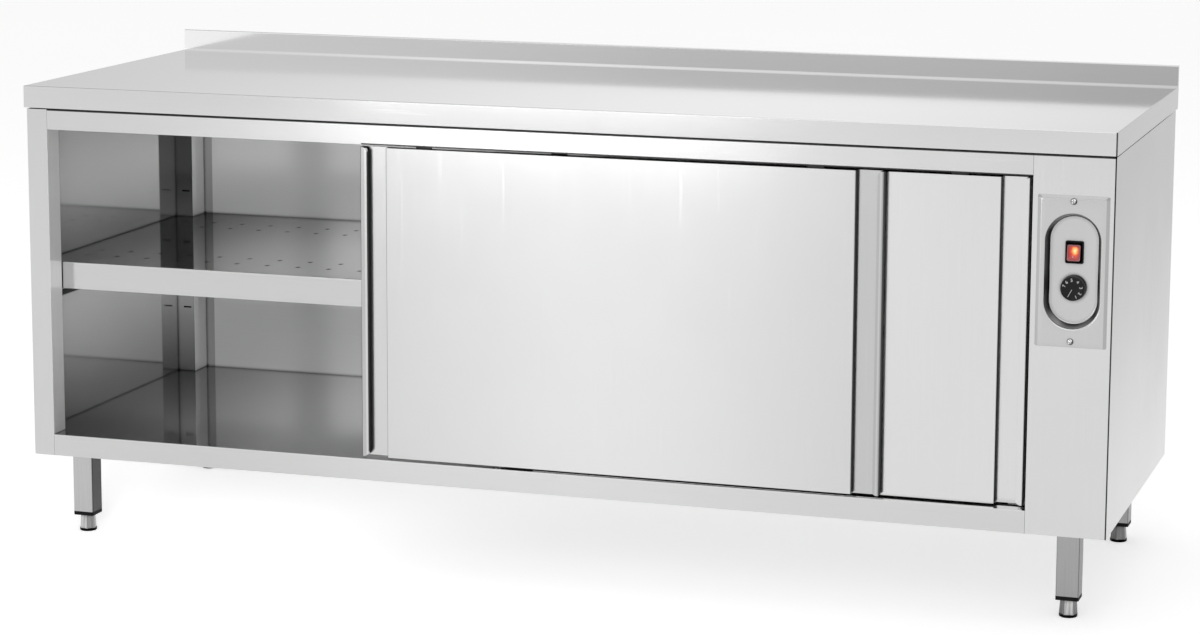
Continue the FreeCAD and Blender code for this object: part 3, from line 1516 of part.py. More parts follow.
# Terminal block, cable gland and wiring
terminal = new_body("terminal_block")
terminal_y = inner_back - s.terminal_back_inset
terminal_top = floor_top + s.terminal_height
add_block(
    terminal,
    span(casing_centre, s.terminal_width),
    span(terminal_y, s.terminal_length),
    (floor_top, terminal_top),
)
first_terminal = terminal_y - (TERMINAL_COUNT - 1) / 2 * s.terminal_pitch
terminal_row = [
    (x, first_terminal, s.terminal_hole_radius) for x in span(casing_centre, s.terminal_width / 2)
]
screw_holes = cut_discs(terminal, "z", terminal_row, terminal_top - s.terminal_hole_depth, terminal_top)
repeat(terminal, screw_holes, "Y_Axis", (TERMINAL_COUNT - 1) * s.terminal_pitch, TERMINAL_COUNT)

gland = new_body("cable_gland")
gland_axis = (casing_centre, s.gland_height)
gland_outside = body_back + s.gland_hex_height
gland_end = gland_outside + s.gland_dome_height
thread_end = inner_back - s.gland_thread_length


def add_hexagon(body, low, high):
    """Add a hexagon nut about the axis of the gland."""
    corners = hexagon(s.gland_hex_radius)
    extrude(body, "y", lambda sketch: draw_outline(sketch, corners), low, high, False, gland_axis)


add_hexagon(gland, body_back, gland_outside)
add_discs(gland, "y", [(ZERO, ZERO, s.gland_dome_radius)], gland_outside, gland_end, gland_axis)
add_discs(gland, "y", [(ZERO, ZERO, s.gland_thread_radius)], thread_end, body_back, gland_axis)
add_hexagon(gland, inner_back - s.gland_nut_height, inner_back)
cut_discs(gland, "y", [(ZERO, ZERO, s.gland_bore_radius)], thread_end, gland_end, gland_axis)

looms = []
switch_loom = new_body("switch_loom", looms)
loom_leg = (
    switch_z - terminal_top - s.loom_bend,
    s.loom_bend,
    housing_back - terminal_y,
)
loom_start = (terminal_y, terminal_top)
add_pipe(switch_loom, "x", casing_centre, loom_start, loom_leg, s.loom_radius)
motor_loom = new_body("motor_loom", looms)
motor_leg = (
    s.fan_height - terminal_top - s.loom_bend,
    s.loom_bend,
    fan_y + s.motor_radius - terminal_y,
)
add_pipe(motor_loom, "x", casing_centre + s.loom_spacing, loom_start, motor_leg, s.loom_radius)
group("wiring", looms)

doc.recompute()
for item in doc.Objects:
    if {"Invalid", "Error"} & set(item.State):
        raise RuntimeError(f"{item.Label} failed: {item.State}")
for item in nodes:
    if item.Shape.isNull() or not item.Shape.isValid():
        raise RuntimeError(f"{item.Label} has no valid shape")

os.makedirs("parts", exist_ok=True)
for item in nodes:
    item.Shape.exportStep(f"parts/{item.Label}.step")
    print(item.Label, len(item.Shape.Solids), item.Shape.Volume)
print(len(nodes), "nodes")
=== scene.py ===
"""The looks of a stainless steel plate warming cabinet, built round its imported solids.

Lengths are in metres, in the frame of the solids: X runs along the front, Y goes into the
cabinet and Z points up from the floor. Each sub-assembly is a class whose fields are its
sizes and whose dress method builds its pieces and gives each one its finish.
"""

import functools
import json
import logging
import math
from dataclasses import dataclass, replace
from enum import Enum
from typing import Callable, Iterator, Protocol, Sequence

import bmesh
import bpy
from bpy.types import Material, Mesh, Node, NodeTree, World
from bpy.types import NodeSocket as Socket
from bpy.types import Object as Piece
from mathutils import Matrix, Vector

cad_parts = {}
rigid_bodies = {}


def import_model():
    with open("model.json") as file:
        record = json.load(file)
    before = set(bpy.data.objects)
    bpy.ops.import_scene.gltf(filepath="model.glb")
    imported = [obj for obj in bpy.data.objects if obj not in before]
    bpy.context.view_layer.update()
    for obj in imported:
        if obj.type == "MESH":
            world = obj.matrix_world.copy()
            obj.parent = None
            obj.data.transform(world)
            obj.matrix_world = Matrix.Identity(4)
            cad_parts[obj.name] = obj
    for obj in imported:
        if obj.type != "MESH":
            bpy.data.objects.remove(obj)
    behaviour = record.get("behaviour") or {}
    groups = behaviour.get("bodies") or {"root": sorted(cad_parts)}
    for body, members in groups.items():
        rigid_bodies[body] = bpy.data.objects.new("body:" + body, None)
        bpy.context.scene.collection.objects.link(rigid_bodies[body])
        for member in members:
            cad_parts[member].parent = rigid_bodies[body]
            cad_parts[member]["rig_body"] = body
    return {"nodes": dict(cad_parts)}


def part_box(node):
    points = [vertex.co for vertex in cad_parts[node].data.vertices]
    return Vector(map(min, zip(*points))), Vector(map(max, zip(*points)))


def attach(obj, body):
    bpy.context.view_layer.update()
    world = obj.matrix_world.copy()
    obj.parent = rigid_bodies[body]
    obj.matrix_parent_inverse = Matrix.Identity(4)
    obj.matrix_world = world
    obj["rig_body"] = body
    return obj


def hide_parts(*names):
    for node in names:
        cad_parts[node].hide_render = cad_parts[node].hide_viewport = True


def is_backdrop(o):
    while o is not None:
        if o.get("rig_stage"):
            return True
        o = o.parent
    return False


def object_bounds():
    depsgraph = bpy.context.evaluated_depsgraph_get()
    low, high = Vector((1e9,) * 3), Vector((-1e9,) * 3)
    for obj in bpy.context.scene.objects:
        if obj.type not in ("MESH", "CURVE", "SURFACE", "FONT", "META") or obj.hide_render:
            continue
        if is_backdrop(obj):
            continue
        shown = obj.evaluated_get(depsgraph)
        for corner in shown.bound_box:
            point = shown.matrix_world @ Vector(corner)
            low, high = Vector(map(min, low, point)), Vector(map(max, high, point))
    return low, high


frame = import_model()
SOLIDS_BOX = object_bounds()

log = logging.getLogger("plate_warmer")

Colour = tuple[float, float, float]
Point = tuple[float, float, float]
Answer = float | int | Point | bpy.types.ID

MM = 0.001
WELD = 1e-6
FAR = 1000.0
QUARTER = math.pi / 2
ORIGIN: Point = (0.0, 0.0, 0.0)
FORWARDS: Point = (0.0, -1.0, 0.0)
RIGHTWARDS: Point = (1.0, 0.0, 0.0)
LEFTWARDS: Point = (-1.0, 0.0, 0.0)
UPWARDS: Point = (0.0, 0.0, 1.0)
DOWNWARDS: Point = (0.0, 0.0, -1.0)

# Noise stays between these two almost everywhere.
CLOUD_LOW, CLOUD_HIGH = 0.3, 0.7
# How far wide faces outweigh narrow ones in a normal, where 50 is by area alone.
FLAT_WEIGHT = 80
PRESSED_DEGREES = 40.0
DIGIT_BOLDNESS = 0.016
THREAD_STEPS, THREAD_SIDES = 20, 4


class Axis(Enum):
    """A direction of the frame."""

    X = (1.0, 0.0, 0.0)
    Y = (0.0, 1.0, 0.0)
    Z = (0.0, 0.0, 1.0)

    def stretch(self, along: float, across: float) -> Point:
        """Texture scales that draw a pattern out along this direction."""
        x, y, z = (along if share else across for share in self.value)
        return (x, y, z)

    def beside(self) -> "Axis":
        """The direction that brushing takes where a face looks along this one."""
        return {Axis.X: Axis.Y, Axis.Y: Axis.X, Axis.Z: Axis.X}[self]


class Tree:
    """A node tree that is being drawn, for a material, a world or a shape."""

    def __init__(self, tree: NodeTree) -> None:
        """Take over a node tree."""
        self.tree = tree

    def add(self, kind: str, inputs: dict[str | int, object] | None = None, **settings: object) -> Node:
        """Add a node.

        Args:
            kind: The node's type.
            inputs: Values or sockets for its inputs, by name, identifier or number.
            **settings: Values for its own settings.

        Returns:
            The new node.
        """
        node = self.tree.nodes.new(kind)
        for name, value in settings.items():
            setattr(node, name, value)
        by_identifier = {socket.identifier: socket for socket in node.inputs}
        for name, value in (inputs or {}).items():
            socket = by_identifier.get(name) or node.inputs[name]
            if isinstance(value, Socket):
                self.tree.links.new(value, socket)
            else:
                socket.default_value = value
        return node

    def figure(self, operation: str, first: Socket | float, second: Socket | float = 0.0) -> Socket:
        """Work out one value from one or two."""
        return self.add("ShaderNodeMath", {0: first, 1: second}, operation=operation).outputs["Value"]


class Draft(Tree):
    """The node tree of one material, with the patterns that its finish is mixed from."""

    def __init__(self, name: str) -> None:
        """Start a material with an empty tree.

        Args:
            name: What the material is called.
        """
        self.material = bpy.data.materials.new(name)
        self.material.use_nodes = True
        super().__init__(self.material.node_tree)
        self.tree.nodes.clear()
        self.place = self.add("ShaderNodeTexCoord").outputs["Object"]

    def vector(
        self, operation: str, first: Socket, second: Socket | Point = ORIGIN, result: str = "Vector"
    ) -> Socket:
        """Work out a vector, or with the result Value a number, from one or two vectors."""
        return self.add("ShaderNodeVectorMath", {0: first, 1: second}, operation=operation).outputs[result]

    def dimmed(self, colour: Socket, share: Socket | float) -> Socket:
        """A colour or a vector times a share."""
        return self.add("ShaderNodeVectorMath", {0: colour, "Scale": share}, operation="SCALE").outputs["Vector"]

    def scaled(self, scale: Point, start: Point = ORIGIN) -> Socket:
        """The place on the piece, measured from a start and scaled for a pattern."""
        inputs = {"Vector": self.vector("SUBTRACT", self.place, start), "Scale": scale}
        return self.add("ShaderNodeMapping", inputs).outputs["Vector"]

    def parts(self, vector: Socket) -> list[Socket]:
        """The X, Y and Z of a vector."""
        return list(self.add("ShaderNodeSeparateXYZ", {"Vector": vector}).outputs)

    def facing(self, direction: Point) -> Socket:
        """How far the surface looks in a direction, 1 where it looks straight along it."""
        return self.vector("DOT_PRODUCT", self.add("ShaderNodeNewGeometry").outputs["Normal"], direction, "Value")

    def open_share(self, reach: float) -> Socket:
        """How much of what a point sees within a reach is free of other surfaces."""
        return self.add("ShaderNodeAmbientOcclusion", {"Distance": reach}, samples=4).outputs["AO"]

    def noise(self, where: Socket, scale: float = 1.0, detail: float = 2.0, rough: float = 0.5) -> Socket:
        """Soft random cloud between 0 and 1, with finer layers by its detail."""
        inputs = {"Vector": where, "Scale": scale, "Detail": detail, "Roughness": rough}
        return self.add("ShaderNodeTexNoise", inputs).outputs["Fac"]

    def spread(self, share: Socket, low: float, high: float, start: float = 0.0, end: float = 1.0) -> Socket:
        """Carry the range from start to end over to the one from low to high."""
        inputs = {"Value": share, "From Min": start, "From Max": end, "To Min": low, "To Max": high}
        return self.add("ShaderNodeMapRange", inputs).outputs["Result"]

    def clouded(self, cloud: Socket, low: float, high: float) -> Socket:
        """A value that a cloud varies between two others."""
        return self.spread(cloud, low, high, CLOUD_LOW, CLOUD_HIGH)

    def around(self, cloud: Socket, value: float, below: float = 0.85, above: float = 1.2) -> Socket:
        """A value that a cloud varies between two multiples of it."""
        return self.clouded(cloud, value * below, value * above)

    def tint(self, share: Socket, *stops: tuple[float, Colour]) -> Socket:
        """Turn a share into a colour.

        Args:
            share: A value between 0 and 1.
            *stops: Places between 0 and 1, each with its colour.

        Returns:
            The colour.
        """
        node = self.add("ShaderNodeValToRGB", {"Fac": share})
        ramp = node.color_ramp
        while len(ramp.elements) < len(stops):
            ramp.elements.new(1.0)
        for element, (place, _) in zip(ramp.elements, stops):
            element.position = place
        for element, (_, colour) in zip(ramp.elements, stops):
            element.color = (*colour, 1.0)
        return node.outputs["Color"]

    def mottled(self, cloud: Socket, dark: Colour, pale: Colour) -> Socket:
        """A colour that a cloud varies between two others."""
        return self.tint(cloud, (CLOUD_LOW, dark), (CLOUD_HIGH, pale))

    def bump(self, height: Socket, depth: float, strength: float = 1.0) -> Socket:
        """The normal of a relief too fine to model, depth metres deep where its height is 1."""
        inputs = {"Height": height, "Distance": depth, "Strength": strength}
        return self.add("ShaderNodeBump", inputs).outputs["Normal"]

    def surface(self, inputs: dict[str | int, object]) -> Material:
        """Close the tree with its shader.

        Args:
            inputs: The shader's inputs by name.

        Returns:
            The finished material.
        """
        shader = self.add("ShaderNodeBsdfPrincipled", inputs)
        self.add("ShaderNodeOutputMaterial", {"Surface": shader.outputs["BSDF"]})
        return self.material


class Finish(Protocol):
    """Anything that can make a material."""

    name: str

    def build(self) -> Material:
        """Make the material."""


def grey(level: float, warmth: float = 0.0) -> Colour:
    """A grey, warmer where red goes up and blue goes down."""
    return (level * (1 + warmth), level, level * (1 - warmth))


@dataclass(frozen=True)
class Fade:
    """Painted light: a slow fall of tone over a sheet, away from its brightest place."""

    centre: Point
    reach: Point
    share: float
    leftwards: bool = False

    def over(self, draft: Draft) -> Socket:
        """How bright the painted light makes each place, as a share of the brightest one.

        Args:
            draft: The material's tree.

        Returns:
            The share.
        """
        place = draft.scaled(tuple(1 / reach for reach in self.reach), self.centre)
        if self.leftwards:
            place = draft.vector("MINIMUM", place, (0.0, FAR, FAR))
        away = draft.vector("LENGTH", place, result="Value")
        inputs = {"Value": away, "To Min": 1.0, "To Max": self.share}
        return draft.add("ShaderNodeMapRange", inputs, interpolation_type="SMOOTHSTEP").outputs["Result"]


@dataclass(frozen=True)
class Seam:
    """A narrow block of places on a sheet with another tone: painted shade in gaps and corners, painted highlights
    along bends and edges, and the black sole of a foot, which is its own colour.
    """

    low: Point
    high: Point
    level: float

    def over(self, draft: Draft) -> Socket:
        """What the sheet's tone is multiplied by: its level inside the block and 1 outside.

        Args:
            draft: The material's tree.

        Returns:
            The multiple.
        """
        middle = tuple((a + b) / 2 for a, b in zip(self.low, self.high))
        per_half = tuple(2 / (b - a) for a, b in zip(self.low, self.high))
        x, y, z = (draft.figure("ABSOLUTE", part) for part in draft.parts(draft.scaled(per_half, middle)))
        farthest = draft.figure("MAXIMUM", draft.figure("MAXIMUM", x, y), z)
        return draft.spread(draft.figure("GREATER_THAN", farthest, 1.0), self.level, 1.0)


@dataclass(frozen=True)
class HoleRims:
    """Painted shade of the dished rims of rows of small holes, as darker spots round them."""

    first: float
    pitch: float
    rows: tuple[float, ...]
    half_length: float
    half_width: float
    level: float

    def over(self, draft: Draft) -> Socket:
        """What the sheet's tone is multiplied by: its level in the rims and 1 outside.

        Args:
            draft: The material's tree.

        Returns:
            The multiple.
        """
        steps, across, _ = draft.parts(draft.scaled((1 / self.pitch, 1.0, 1.0), (self.first, 0.0, 0.0)))
        gaps = [draft.figure("ABSOLUTE", draft.figure("SUBTRACT", across, row)) for row in self.rows]
        gap = functools.reduce(functools.partial(draft.figure, "MINIMUM"), gaps)
        shares = (
            draft.figure("MULTIPLY", draft.figure("PINGPONG", steps, 0.5), self.pitch / self.half_length),
            draft.figure("MULTIPLY", gap, 1 / self.half_width),
        )
        squares = (draft.figure("MULTIPLY", share, share) for share in shares)
        return draft.spread(draft.figure("ADD", *squares), self.level, 1.0, 0.7, 1.2)


@dataclass(frozen=True)
class MillFace:
    """The faces of a sheet that look one way, with their own painted light and shade, roughness and gloss."""

    towards: Point
    level: float
    roughness: float = 0.06
    metal: float = 1.0
    fade: Fade | None = None
    start: float = 0.35
    full: float = 0.8
    # How much of the tint of grazing reflections these faces keep, as painted reflection shade.
    edge: float = 1.0

    def there(self, draft: Draft) -> Socket:
        """How far a point lies on such a face: 1 on those faces and 0 elsewhere."""
        return draft.spread(draft.facing(self.towards), 0.0, 1.0, self.start, self.full)

    def over(self, draft: Draft, there: Socket, level: float) -> Socket:
        """What the sheet's own tone is multiplied by, as the painted light of these faces.

        Args:
            draft: The material's tree.
            there: How far a point lies on such a face.
            level: The sheet's own tone.

        Returns:
            The multiple.
        """
        if not self.fade:
            return draft.spread(there, 1.0, self.level / level)
        tone = draft.figure("MULTIPLY", self.fade.over(draft), self.level / level)
        above = draft.figure("MULTIPLY", draft.figure("SUBTRACT", tone, 1.0), there)
        return draft.figure("ADD", above, 1.0)


@dataclass(frozen=True)
class BrushedSteel:
    """Stainless sheet with a satin brushing, stray scratches and wiped patches, and painted light and shade over it.
    """

    name: str
    grain: Axis
    level: float = 0.80
    warmth: float = 0.0
    roughness: float = 0.17
    relief: float = 3e-6
    brush_across: float = 1500.0
    brush_along: float = 9.0
    scratch_across: float = 260.0
    scratch_along: float = 5.0
    patch_scale: float = 2.3
    # Painted light and shade: faces that look one way, a fade over the sheet, dark corners within a reach, bright and
    # dark marks, which also carry a foot's black sole, and a fade of the grazing reflections.
    mill: tuple[MillFace, ...] = ()
    fade: Fade | None = None
    joint_reach: float = 0.0
    joint_level: float = 0.12
    seams: tuple[Seam | HoleRims, ...] = ()
    edge_fade: Fade | None = None
    contrast: float = 0.03

    def brushing(self, draft: Draft, along: float, across: float) -> Socket:
        """The place drawn out along the grain, turned where a face looks along it.

        Args:
            draft: The material's tree.
            along: Texture scale along the grain.
            across: Texture scale across the grain.

        Returns:
            The place to read a grain pattern at.
        """
        size = draft.figure("ABSOLUTE", draft.facing(self.grain.value))
        inputs = {
            "Factor_Float": draft.figure("GREATER_THAN", size, 0.7),
            "A_Vector": draft.scaled(self.grain.stretch(along, across)),
            "B_Vector": draft.scaled(self.grain.beside().stretch(along, across)),
        }
        mix = draft.add("ShaderNodeMix", inputs, data_type="VECTOR")
        return next(socket for socket in mix.outputs if socket.identifier == "Result_Vector")

    def toned(self, draft: Draft, colour: Socket, there: Sequence[Socket]) -> Socket:
        """The colour with its painted light and shade: its fade, its marks, its dark corners and its facing faces.

        Args:
            draft: The material's tree.
            colour: The colour of the brushing.
            there: How far a point lies on each face that has its own painted light.

        Returns:
            The colour.
        """
        shares = [shade.over(draft) for shade in (self.fade, *self.seams) if shade]
        # Painted shade: darker where other surfaces are near, in corners and joints.
        if self.joint_reach:
            shares.append(draft.spread(draft.open_share(self.joint_reach), self.joint_level, 1.0, 0.5, 0.85))
        shares += [face.over(draft, place, self.level) for face, place in zip(self.mill, there)]
        return functools.reduce(draft.dimmed, shares, colour)

    def build(self) -> Material:
        """Make the material."""
        draft = Draft(self.name)
        brush = draft.noise(self.brushing(draft, self.brush_along, self.brush_across), detail=3.0)
        scratch = draft.noise(self.brushing(draft, self.scratch_along, self.scratch_across), detail=5.0)
        marks = draft.spread(scratch, 0.0, 1.0, 0.60, 0.72)
        patches = draft.noise(draft.place, self.patch_scale, 4.0, 0.6)
        shade = draft.figure("MULTIPLY", draft.figure("ADD", brush, patches), 0.5)
        low, high = (grey(self.level * (1 + sign * self.contrast), self.warmth) for sign in (-1, 1))
        wiped = draft.around(patches, self.roughness, 0.82, 1.22)
        rough = draft.figure("ADD", wiped, draft.figure("MULTIPLY", marks, self.roughness * 0.35))
        there = [face.there(draft) for face in self.mill]
        inputs: dict[str | int, object] = {
            "Base Color": self.toned(draft, draft.mottled(shade, low, high), there),
            "Metallic": 1.0,
            "Normal": draft.bump(draft.figure("ADD", brush, draft.figure("MULTIPLY", marks, 0.6)), self.relief),
        }
        # Painted reflection shade: grazing reflections lose their tint away from one place.
        if self.edge_fade:
            inputs["Specular Tint"] = self.edge_fade.over(draft)
        for face, place in zip(self.mill, there):
            rough = draft.figure("MULTIPLY", rough, draft.spread(place, 1.0, face.roughness / self.roughness))
            # A face's edge share dims its grazing reflections, as painted reflection shade.
            for name, amount in (("Metallic", face.metal), ("Specular Tint", face.edge)):
                if amount != 1.0:
                    share = draft.spread(place, 1.0, amount)
                    inputs[name] = draft.figure("MULTIPLY", inputs.get(name, 1.0), share)
        return draft.surface({**inputs, "Roughness": rough})


@dataclass(frozen=True)
class GalvanisedSheet:
    """Zinc-coated sheet with its crystal spangle."""

    name: str = "galvanised_sheet"
    level: float = 0.56
    spangle_scale: float = 130.0
    swirl_scale: float = 60.0
    swirl_reach: float = 6.0 * MM
    dust_scale: float = 9.0
    roughness: float = 0.42
    relief: float = 8e-6

    def build(self) -> Material:
        """Make the material."""
        draft = Draft(self.name)
        swirl = draft.add("ShaderNodeTexNoise", {"Vector": draft.place, "Scale": self.swirl_scale}).outputs["Color"]
        warped = draft.vector("ADD", draft.place, draft.dimmed(swirl, self.swirl_reach))
        cells = draft.add("ShaderNodeTexVoronoi", {"Vector": warped, "Scale": self.spangle_scale})
        crystal = draft.add("ShaderNodeSeparateColor", {"Color": cells.outputs["Color"]}).outputs["Red"]
        dust = draft.noise(draft.place, self.dust_scale, 5.0)
        low, high = grey(self.level * 0.84, -0.01), grey(self.level * 1.14, -0.02)
        dusty = draft.around(dust, self.roughness, 0.85, 1.25)
        return draft.surface({
            "Base Color": draft.tint(crystal, (0.0, low), (1.0, high)),
            "Metallic": 1.0,
            "Roughness": draft.figure("ADD", draft.spread(crystal, -0.07, 0.07), dusty),
            "Normal": draft.bump(draft.figure("ADD", crystal, dust), self.relief, 0.6),
        })


@dataclass(frozen=True)
class PlatedSteel:
    """Bright plated or turned steel of a small part, with rings left by its tool, and painted shade where a recess
    reach is given.
    """

    name: str
    level: float = 0.74
    warmth: float = 0.01
    roughness: float = 0.20
    fine_scale: float = 900.0
    stain_scale: float = 85.0
    relief: float = 4e-6
    # Painted shade: a recess darkens within this reach, flanks darken where they turn away from facing, and the side
    # that leans towards shaded gets a painted shadow.
    recess_reach: float = 0.0
    facing: Point = ORIGIN
    shaded: Point = ORIGIN

    def shade(self, draft: Draft) -> Socket:
        """The painted shade of a recess, of the steep flank round a head and of its shaded side.

        Args:
            draft: The material's tree.

        Returns:
            The share of the tone that is left.
        """
        flank = draft.spread(draft.facing(self.facing), 0.05, 1.0, 0.82, 0.94)
        side = draft.spread(draft.facing(self.shaded), 1.0, 0.10, 0.10, 0.34)
        recess = draft.spread(draft.open_share(self.recess_reach), 0.02, 1.0, 0.35, 0.8)
        return draft.figure("MULTIPLY", draft.figure("MULTIPLY", flank, side), recess)

    def build(self) -> Material:
        """Make the material."""
        draft = Draft(self.name)
        fine = draft.noise(draft.place, self.fine_scale, 4.0)
        stain = draft.noise(draft.place, self.stain_scale, 3.0)
        dull = grey(self.level * 0.86, self.warmth * 2)
        colour = draft.tint(stain, (0.35, dull), (0.65, grey(self.level, self.warmth)))
        stained = draft.around(stain, self.roughness, 0.8, 1.4)
        return draft.surface({
            "Base Color": draft.dimmed(colour, self.shade(draft)) if self.recess_reach else colour,
            "Metallic": 1.0,
            "Roughness": draft.figure("ADD", stained, draft.spread(fine, -0.03, 0.03)),
            "Normal": draft.bump(fine, self.relief, 0.5),
        })


@dataclass(frozen=True)
class PressedProfile:
    """Extruded aluminium with die lines along its length."""

    name: str = "extruded_aluminium"
    level: float = 0.76
    roughness: float = 0.32
    dull: float = 0.9
    line_across: float = 2200.0
    line_along: float = 1.2
    cloud_scale: float = 14.0
    relief: float = 5e-6

    def build(self) -> Material:
        """Make the material."""
        draft = Draft(self.name)
        lines = draft.noise(draft.scaled(Axis.X.stretch(self.line_along, self.line_across)), detail=4.0)
        return draft.surface({
            "Base Color": draft.mottled(lines, grey(self.level * self.dull), grey(self.level)),
            "Metallic": 1.0,
            "Roughness": draft.around(draft.noise(draft.place, self.cloud_scale, 4.0), self.roughness),
            "Normal": draft.bump(lines, self.relief),
        })


@dataclass(frozen=True)
class MouldedPlastic:
    """Moulded plastic or rubber with a spark-eroded grain and a little dust."""

    name: str
    colour: Colour
    roughness: float = 0.42
    grain_scale: float = 2600.0
    relief: float = 1.2e-5
    dust: float = 0.12
    dust_level: float = 0.45
    dark_share: float = 0.86
    gloss: float = 0.5
    cloud_scale: float = 38.0

    def build(self) -> Material:
        """Make the material."""
        draft = Draft(self.name)
        grain = draft.noise(draft.place, self.grain_scale)
        cloud = draft.noise(draft.place, self.cloud_scale, 5.0, 0.6)
        dusty = tuple(part + (self.dust_level - part) * self.dust for part in self.colour)
        dark = tuple(part * self.dark_share for part in self.colour)
        rough = draft.figure("ADD", draft.around(cloud, self.roughness), draft.spread(grain, -0.04, 0.04))
        return draft.surface({
            "Base Color": draft.tint(cloud, (0.38, dark), (0.58, self.colour), (0.82, dusty)),
            "Roughness": rough,
            "Specular IOR Level": self.gloss,
            "Normal": draft.bump(grain, self.relief, 0.7),
        })


@dataclass(frozen=True)
class MineralWool:
    """Felted mineral fibre of the door filling."""

    name: str = "mineral_wool"
    pale: Colour = (0.66, 0.60, 0.42)
    dark: Colour = (0.40, 0.35, 0.22)
    fibres: tuple[tuple[Axis, float, float], ...] = ((Axis.X, 90.0, 1400.0), (Axis.Z, 70.0, 1100.0))
    relief: float = 4e-4

    def build(self) -> Material:
        """Make the material."""
        draft = Draft(self.name)
        strands = [draft.noise(draft.scaled(axis.stretch(along, across)), detail=6.0, rough=0.7)
                   for axis, along, across in self.fibres]
        felt = draft.figure("MULTIPLY", draft.figure("ADD", *strands), 0.5)
        return draft.surface({
            "Base Color": draft.tint(felt, (0.34, self.dark), (0.62, self.pale)),
            "Roughness": draft.clouded(felt, 0.86, 1.0),
            "Specular IOR Level": 0.2,
            "Sheen Weight": 0.2,
            "Normal": draft.bump(felt, self.relief, 0.9),
        })


@dataclass(frozen=True)
class LitLens:
    """Clear red rocker with a neon lamp that glows through it, and its duller border; faces that do not look forwards
    get painted shade.
    """

    name: str
    lamp: Point
    middle: Point
    window: tuple[float, float]
    red: Colour = (0.50, 0.012, 0.010)
    rim: Colour = (0.42, 0.13, 0.14)
    glow: tuple[tuple[float, Colour], ...] = (
        (0.0, (0.34, 0.02, 0.016)), (0.40, (0.72, 0.07, 0.03)), (0.62, (1.0, 0.42, 0.07)), (0.80, (1.0, 0.84, 0.34)))
    glow_shape: Point = (1.0, 0.25, 0.80)
    glow_reach: float = 11.5 * MM
    ripple_scale: float = 420.0
    relief: float = 2e-5
    roundness: float = 5.0

    def inside(self, draft: Draft) -> Socket:
        """Whether a place lies in the window that the lamp lights, and not on the border.

        Args:
            draft: The material's tree.

        Returns:
            1 in the window and 0 on the border.
        """
        scale = (1 / self.window[0], 0.0, 1 / self.window[1])
        across, _, upright = draft.parts(draft.scaled(scale, self.middle))
        powers = [draft.figure("POWER", draft.figure("ABSOLUTE", part), self.roundness) for part in (across, upright)]
        return draft.figure("SUBTRACT", 1.0, draft.figure("GREATER_THAN", draft.figure("ADD", *powers), 1.0))

    def build(self) -> Material:
        """Make the material."""
        draft = Draft(self.name)
        away = draft.vector("LENGTH", draft.scaled(self.glow_shape, self.lamp), result="Value")
        near = draft.spread(away, 1.0, 0.0, 0.0, self.glow_reach)
        ripples = draft.noise(draft.scaled((self.ripple_scale,) * 3))
        inside = self.inside(draft)
        # Painted shade: faces that do not look forwards are dimmed, and lose gloss and glow.
        front = draft.spread(draft.facing(FORWARDS), 0.0, 1.0, 0.35, 0.75)
        heat = draft.figure("MULTIPLY", near, draft.clouded(ripples, 0.86, 1.1))
        lit = draft.figure("MULTIPLY", heat, draft.spread(inside, 0.35, 1.0))
        strength = draft.figure("MULTIPLY", draft.spread(lit, 0.25, 1.1), draft.spread(inside, 0.2, 1.0))
        return draft.surface({
            "Base Color": draft.dimmed(draft.tint(inside, (0.0, self.rim), (1.0, self.red)), front),
            "Roughness": draft.clouded(ripples, 0.14, 0.26),
            "Specular IOR Level": draft.spread(front, 0.05, 0.5),
            "Coat Weight": draft.spread(front, 0.0, 0.3),
            "Coat Roughness": 0.08,
            "Emission Color": draft.tint(lit, *self.glow),
            "Emission Strength": draft.figure("MULTIPLY", front, strength),
            "Normal": draft.bump(ripples, self.relief, 0.5),
        })


@dataclass(frozen=True)
class TintedSheath:
    """Sheath of a heating rod, coloured straw, brown and blue by its own heat."""

    name: str = "heat_tinted_sheath"
    tints: tuple[tuple[float, Colour], ...] = (
        (0.32, (0.30, 0.27, 0.24)), (0.45, (0.40, 0.30, 0.18)), (0.56, (0.22, 0.20, 0.28)), (0.70, (0.33, 0.31, 0.29)))
    band_along: float = 30.0
    band_across: float = 60.0
    soot_scale: float = 420.0
    relief: float = 2e-5

    def build(self) -> Material:
        """Make the material."""
        draft = Draft(self.name)
        soot = draft.noise(draft.place, self.soot_scale, 4.0)
        band = draft.noise(draft.scaled(Axis.Y.stretch(self.band_along, self.band_across)), detail=3.0)
        return draft.surface({
            "Base Color": draft.tint(band, *self.tints),
            "Metallic": 1.0,
            "Roughness": draft.clouded(soot, 0.3, 0.55),
            "Normal": draft.bump(soot, self.relief, 0.6),
        })


@dataclass(frozen=True)
class BraidedSleeve:
    """Woven sleeve of a cable loom."""

    name: str = "braided_sleeve"
    turns: float = 520.0
    leans: tuple[Point, Point] = ((0.7, 0.4, 1.0), (-0.7, 0.4, -1.0))
    dark: Colour = (0.008, 0.008, 0.009)
    pale: Colour = (0.07, 0.07, 0.075)
    relief: float = 3e-4

    def build(self) -> Material:
        """Make the material."""
        draft = Draft(self.name)
        leaning = []
        for lean in self.leans:
            mapping = draft.add("ShaderNodeMapping", {"Vector": draft.place, "Rotation": lean})
            inputs = {"Vector": mapping.outputs["Vector"], "Scale": self.turns, "Distortion": 0.6}
            leaning.append(draft.add("ShaderNodeTexWave", inputs).outputs["Fac"])
        braid = draft.figure("MAXIMUM", *leaning)
        return draft.surface({
            "Base Color": draft.tint(braid, (0.2, self.dark), (0.9, self.pale)),
            "Roughness": draft.spread(braid, 0.5, 0.72),
            "Normal": draft.bump(braid, self.relief, 0.8),
        })


def seen_share(tree: Tree) -> Socket:
    """1 for rays of the camera, of mirrors and of glass, and 0 for those that only light.

    Args:
        tree: The tree of the floor or of the world.

    Returns:
        The share.
    """
    rays = tree.add("ShaderNodeLightPath").outputs
    kinds = [rays[f"Is {kind} Ray"] for kind in ("Camera", "Glossy", "Transmission")]
    return functools.reduce(functools.partial(tree.figure, "MAXIMUM"), kinds)


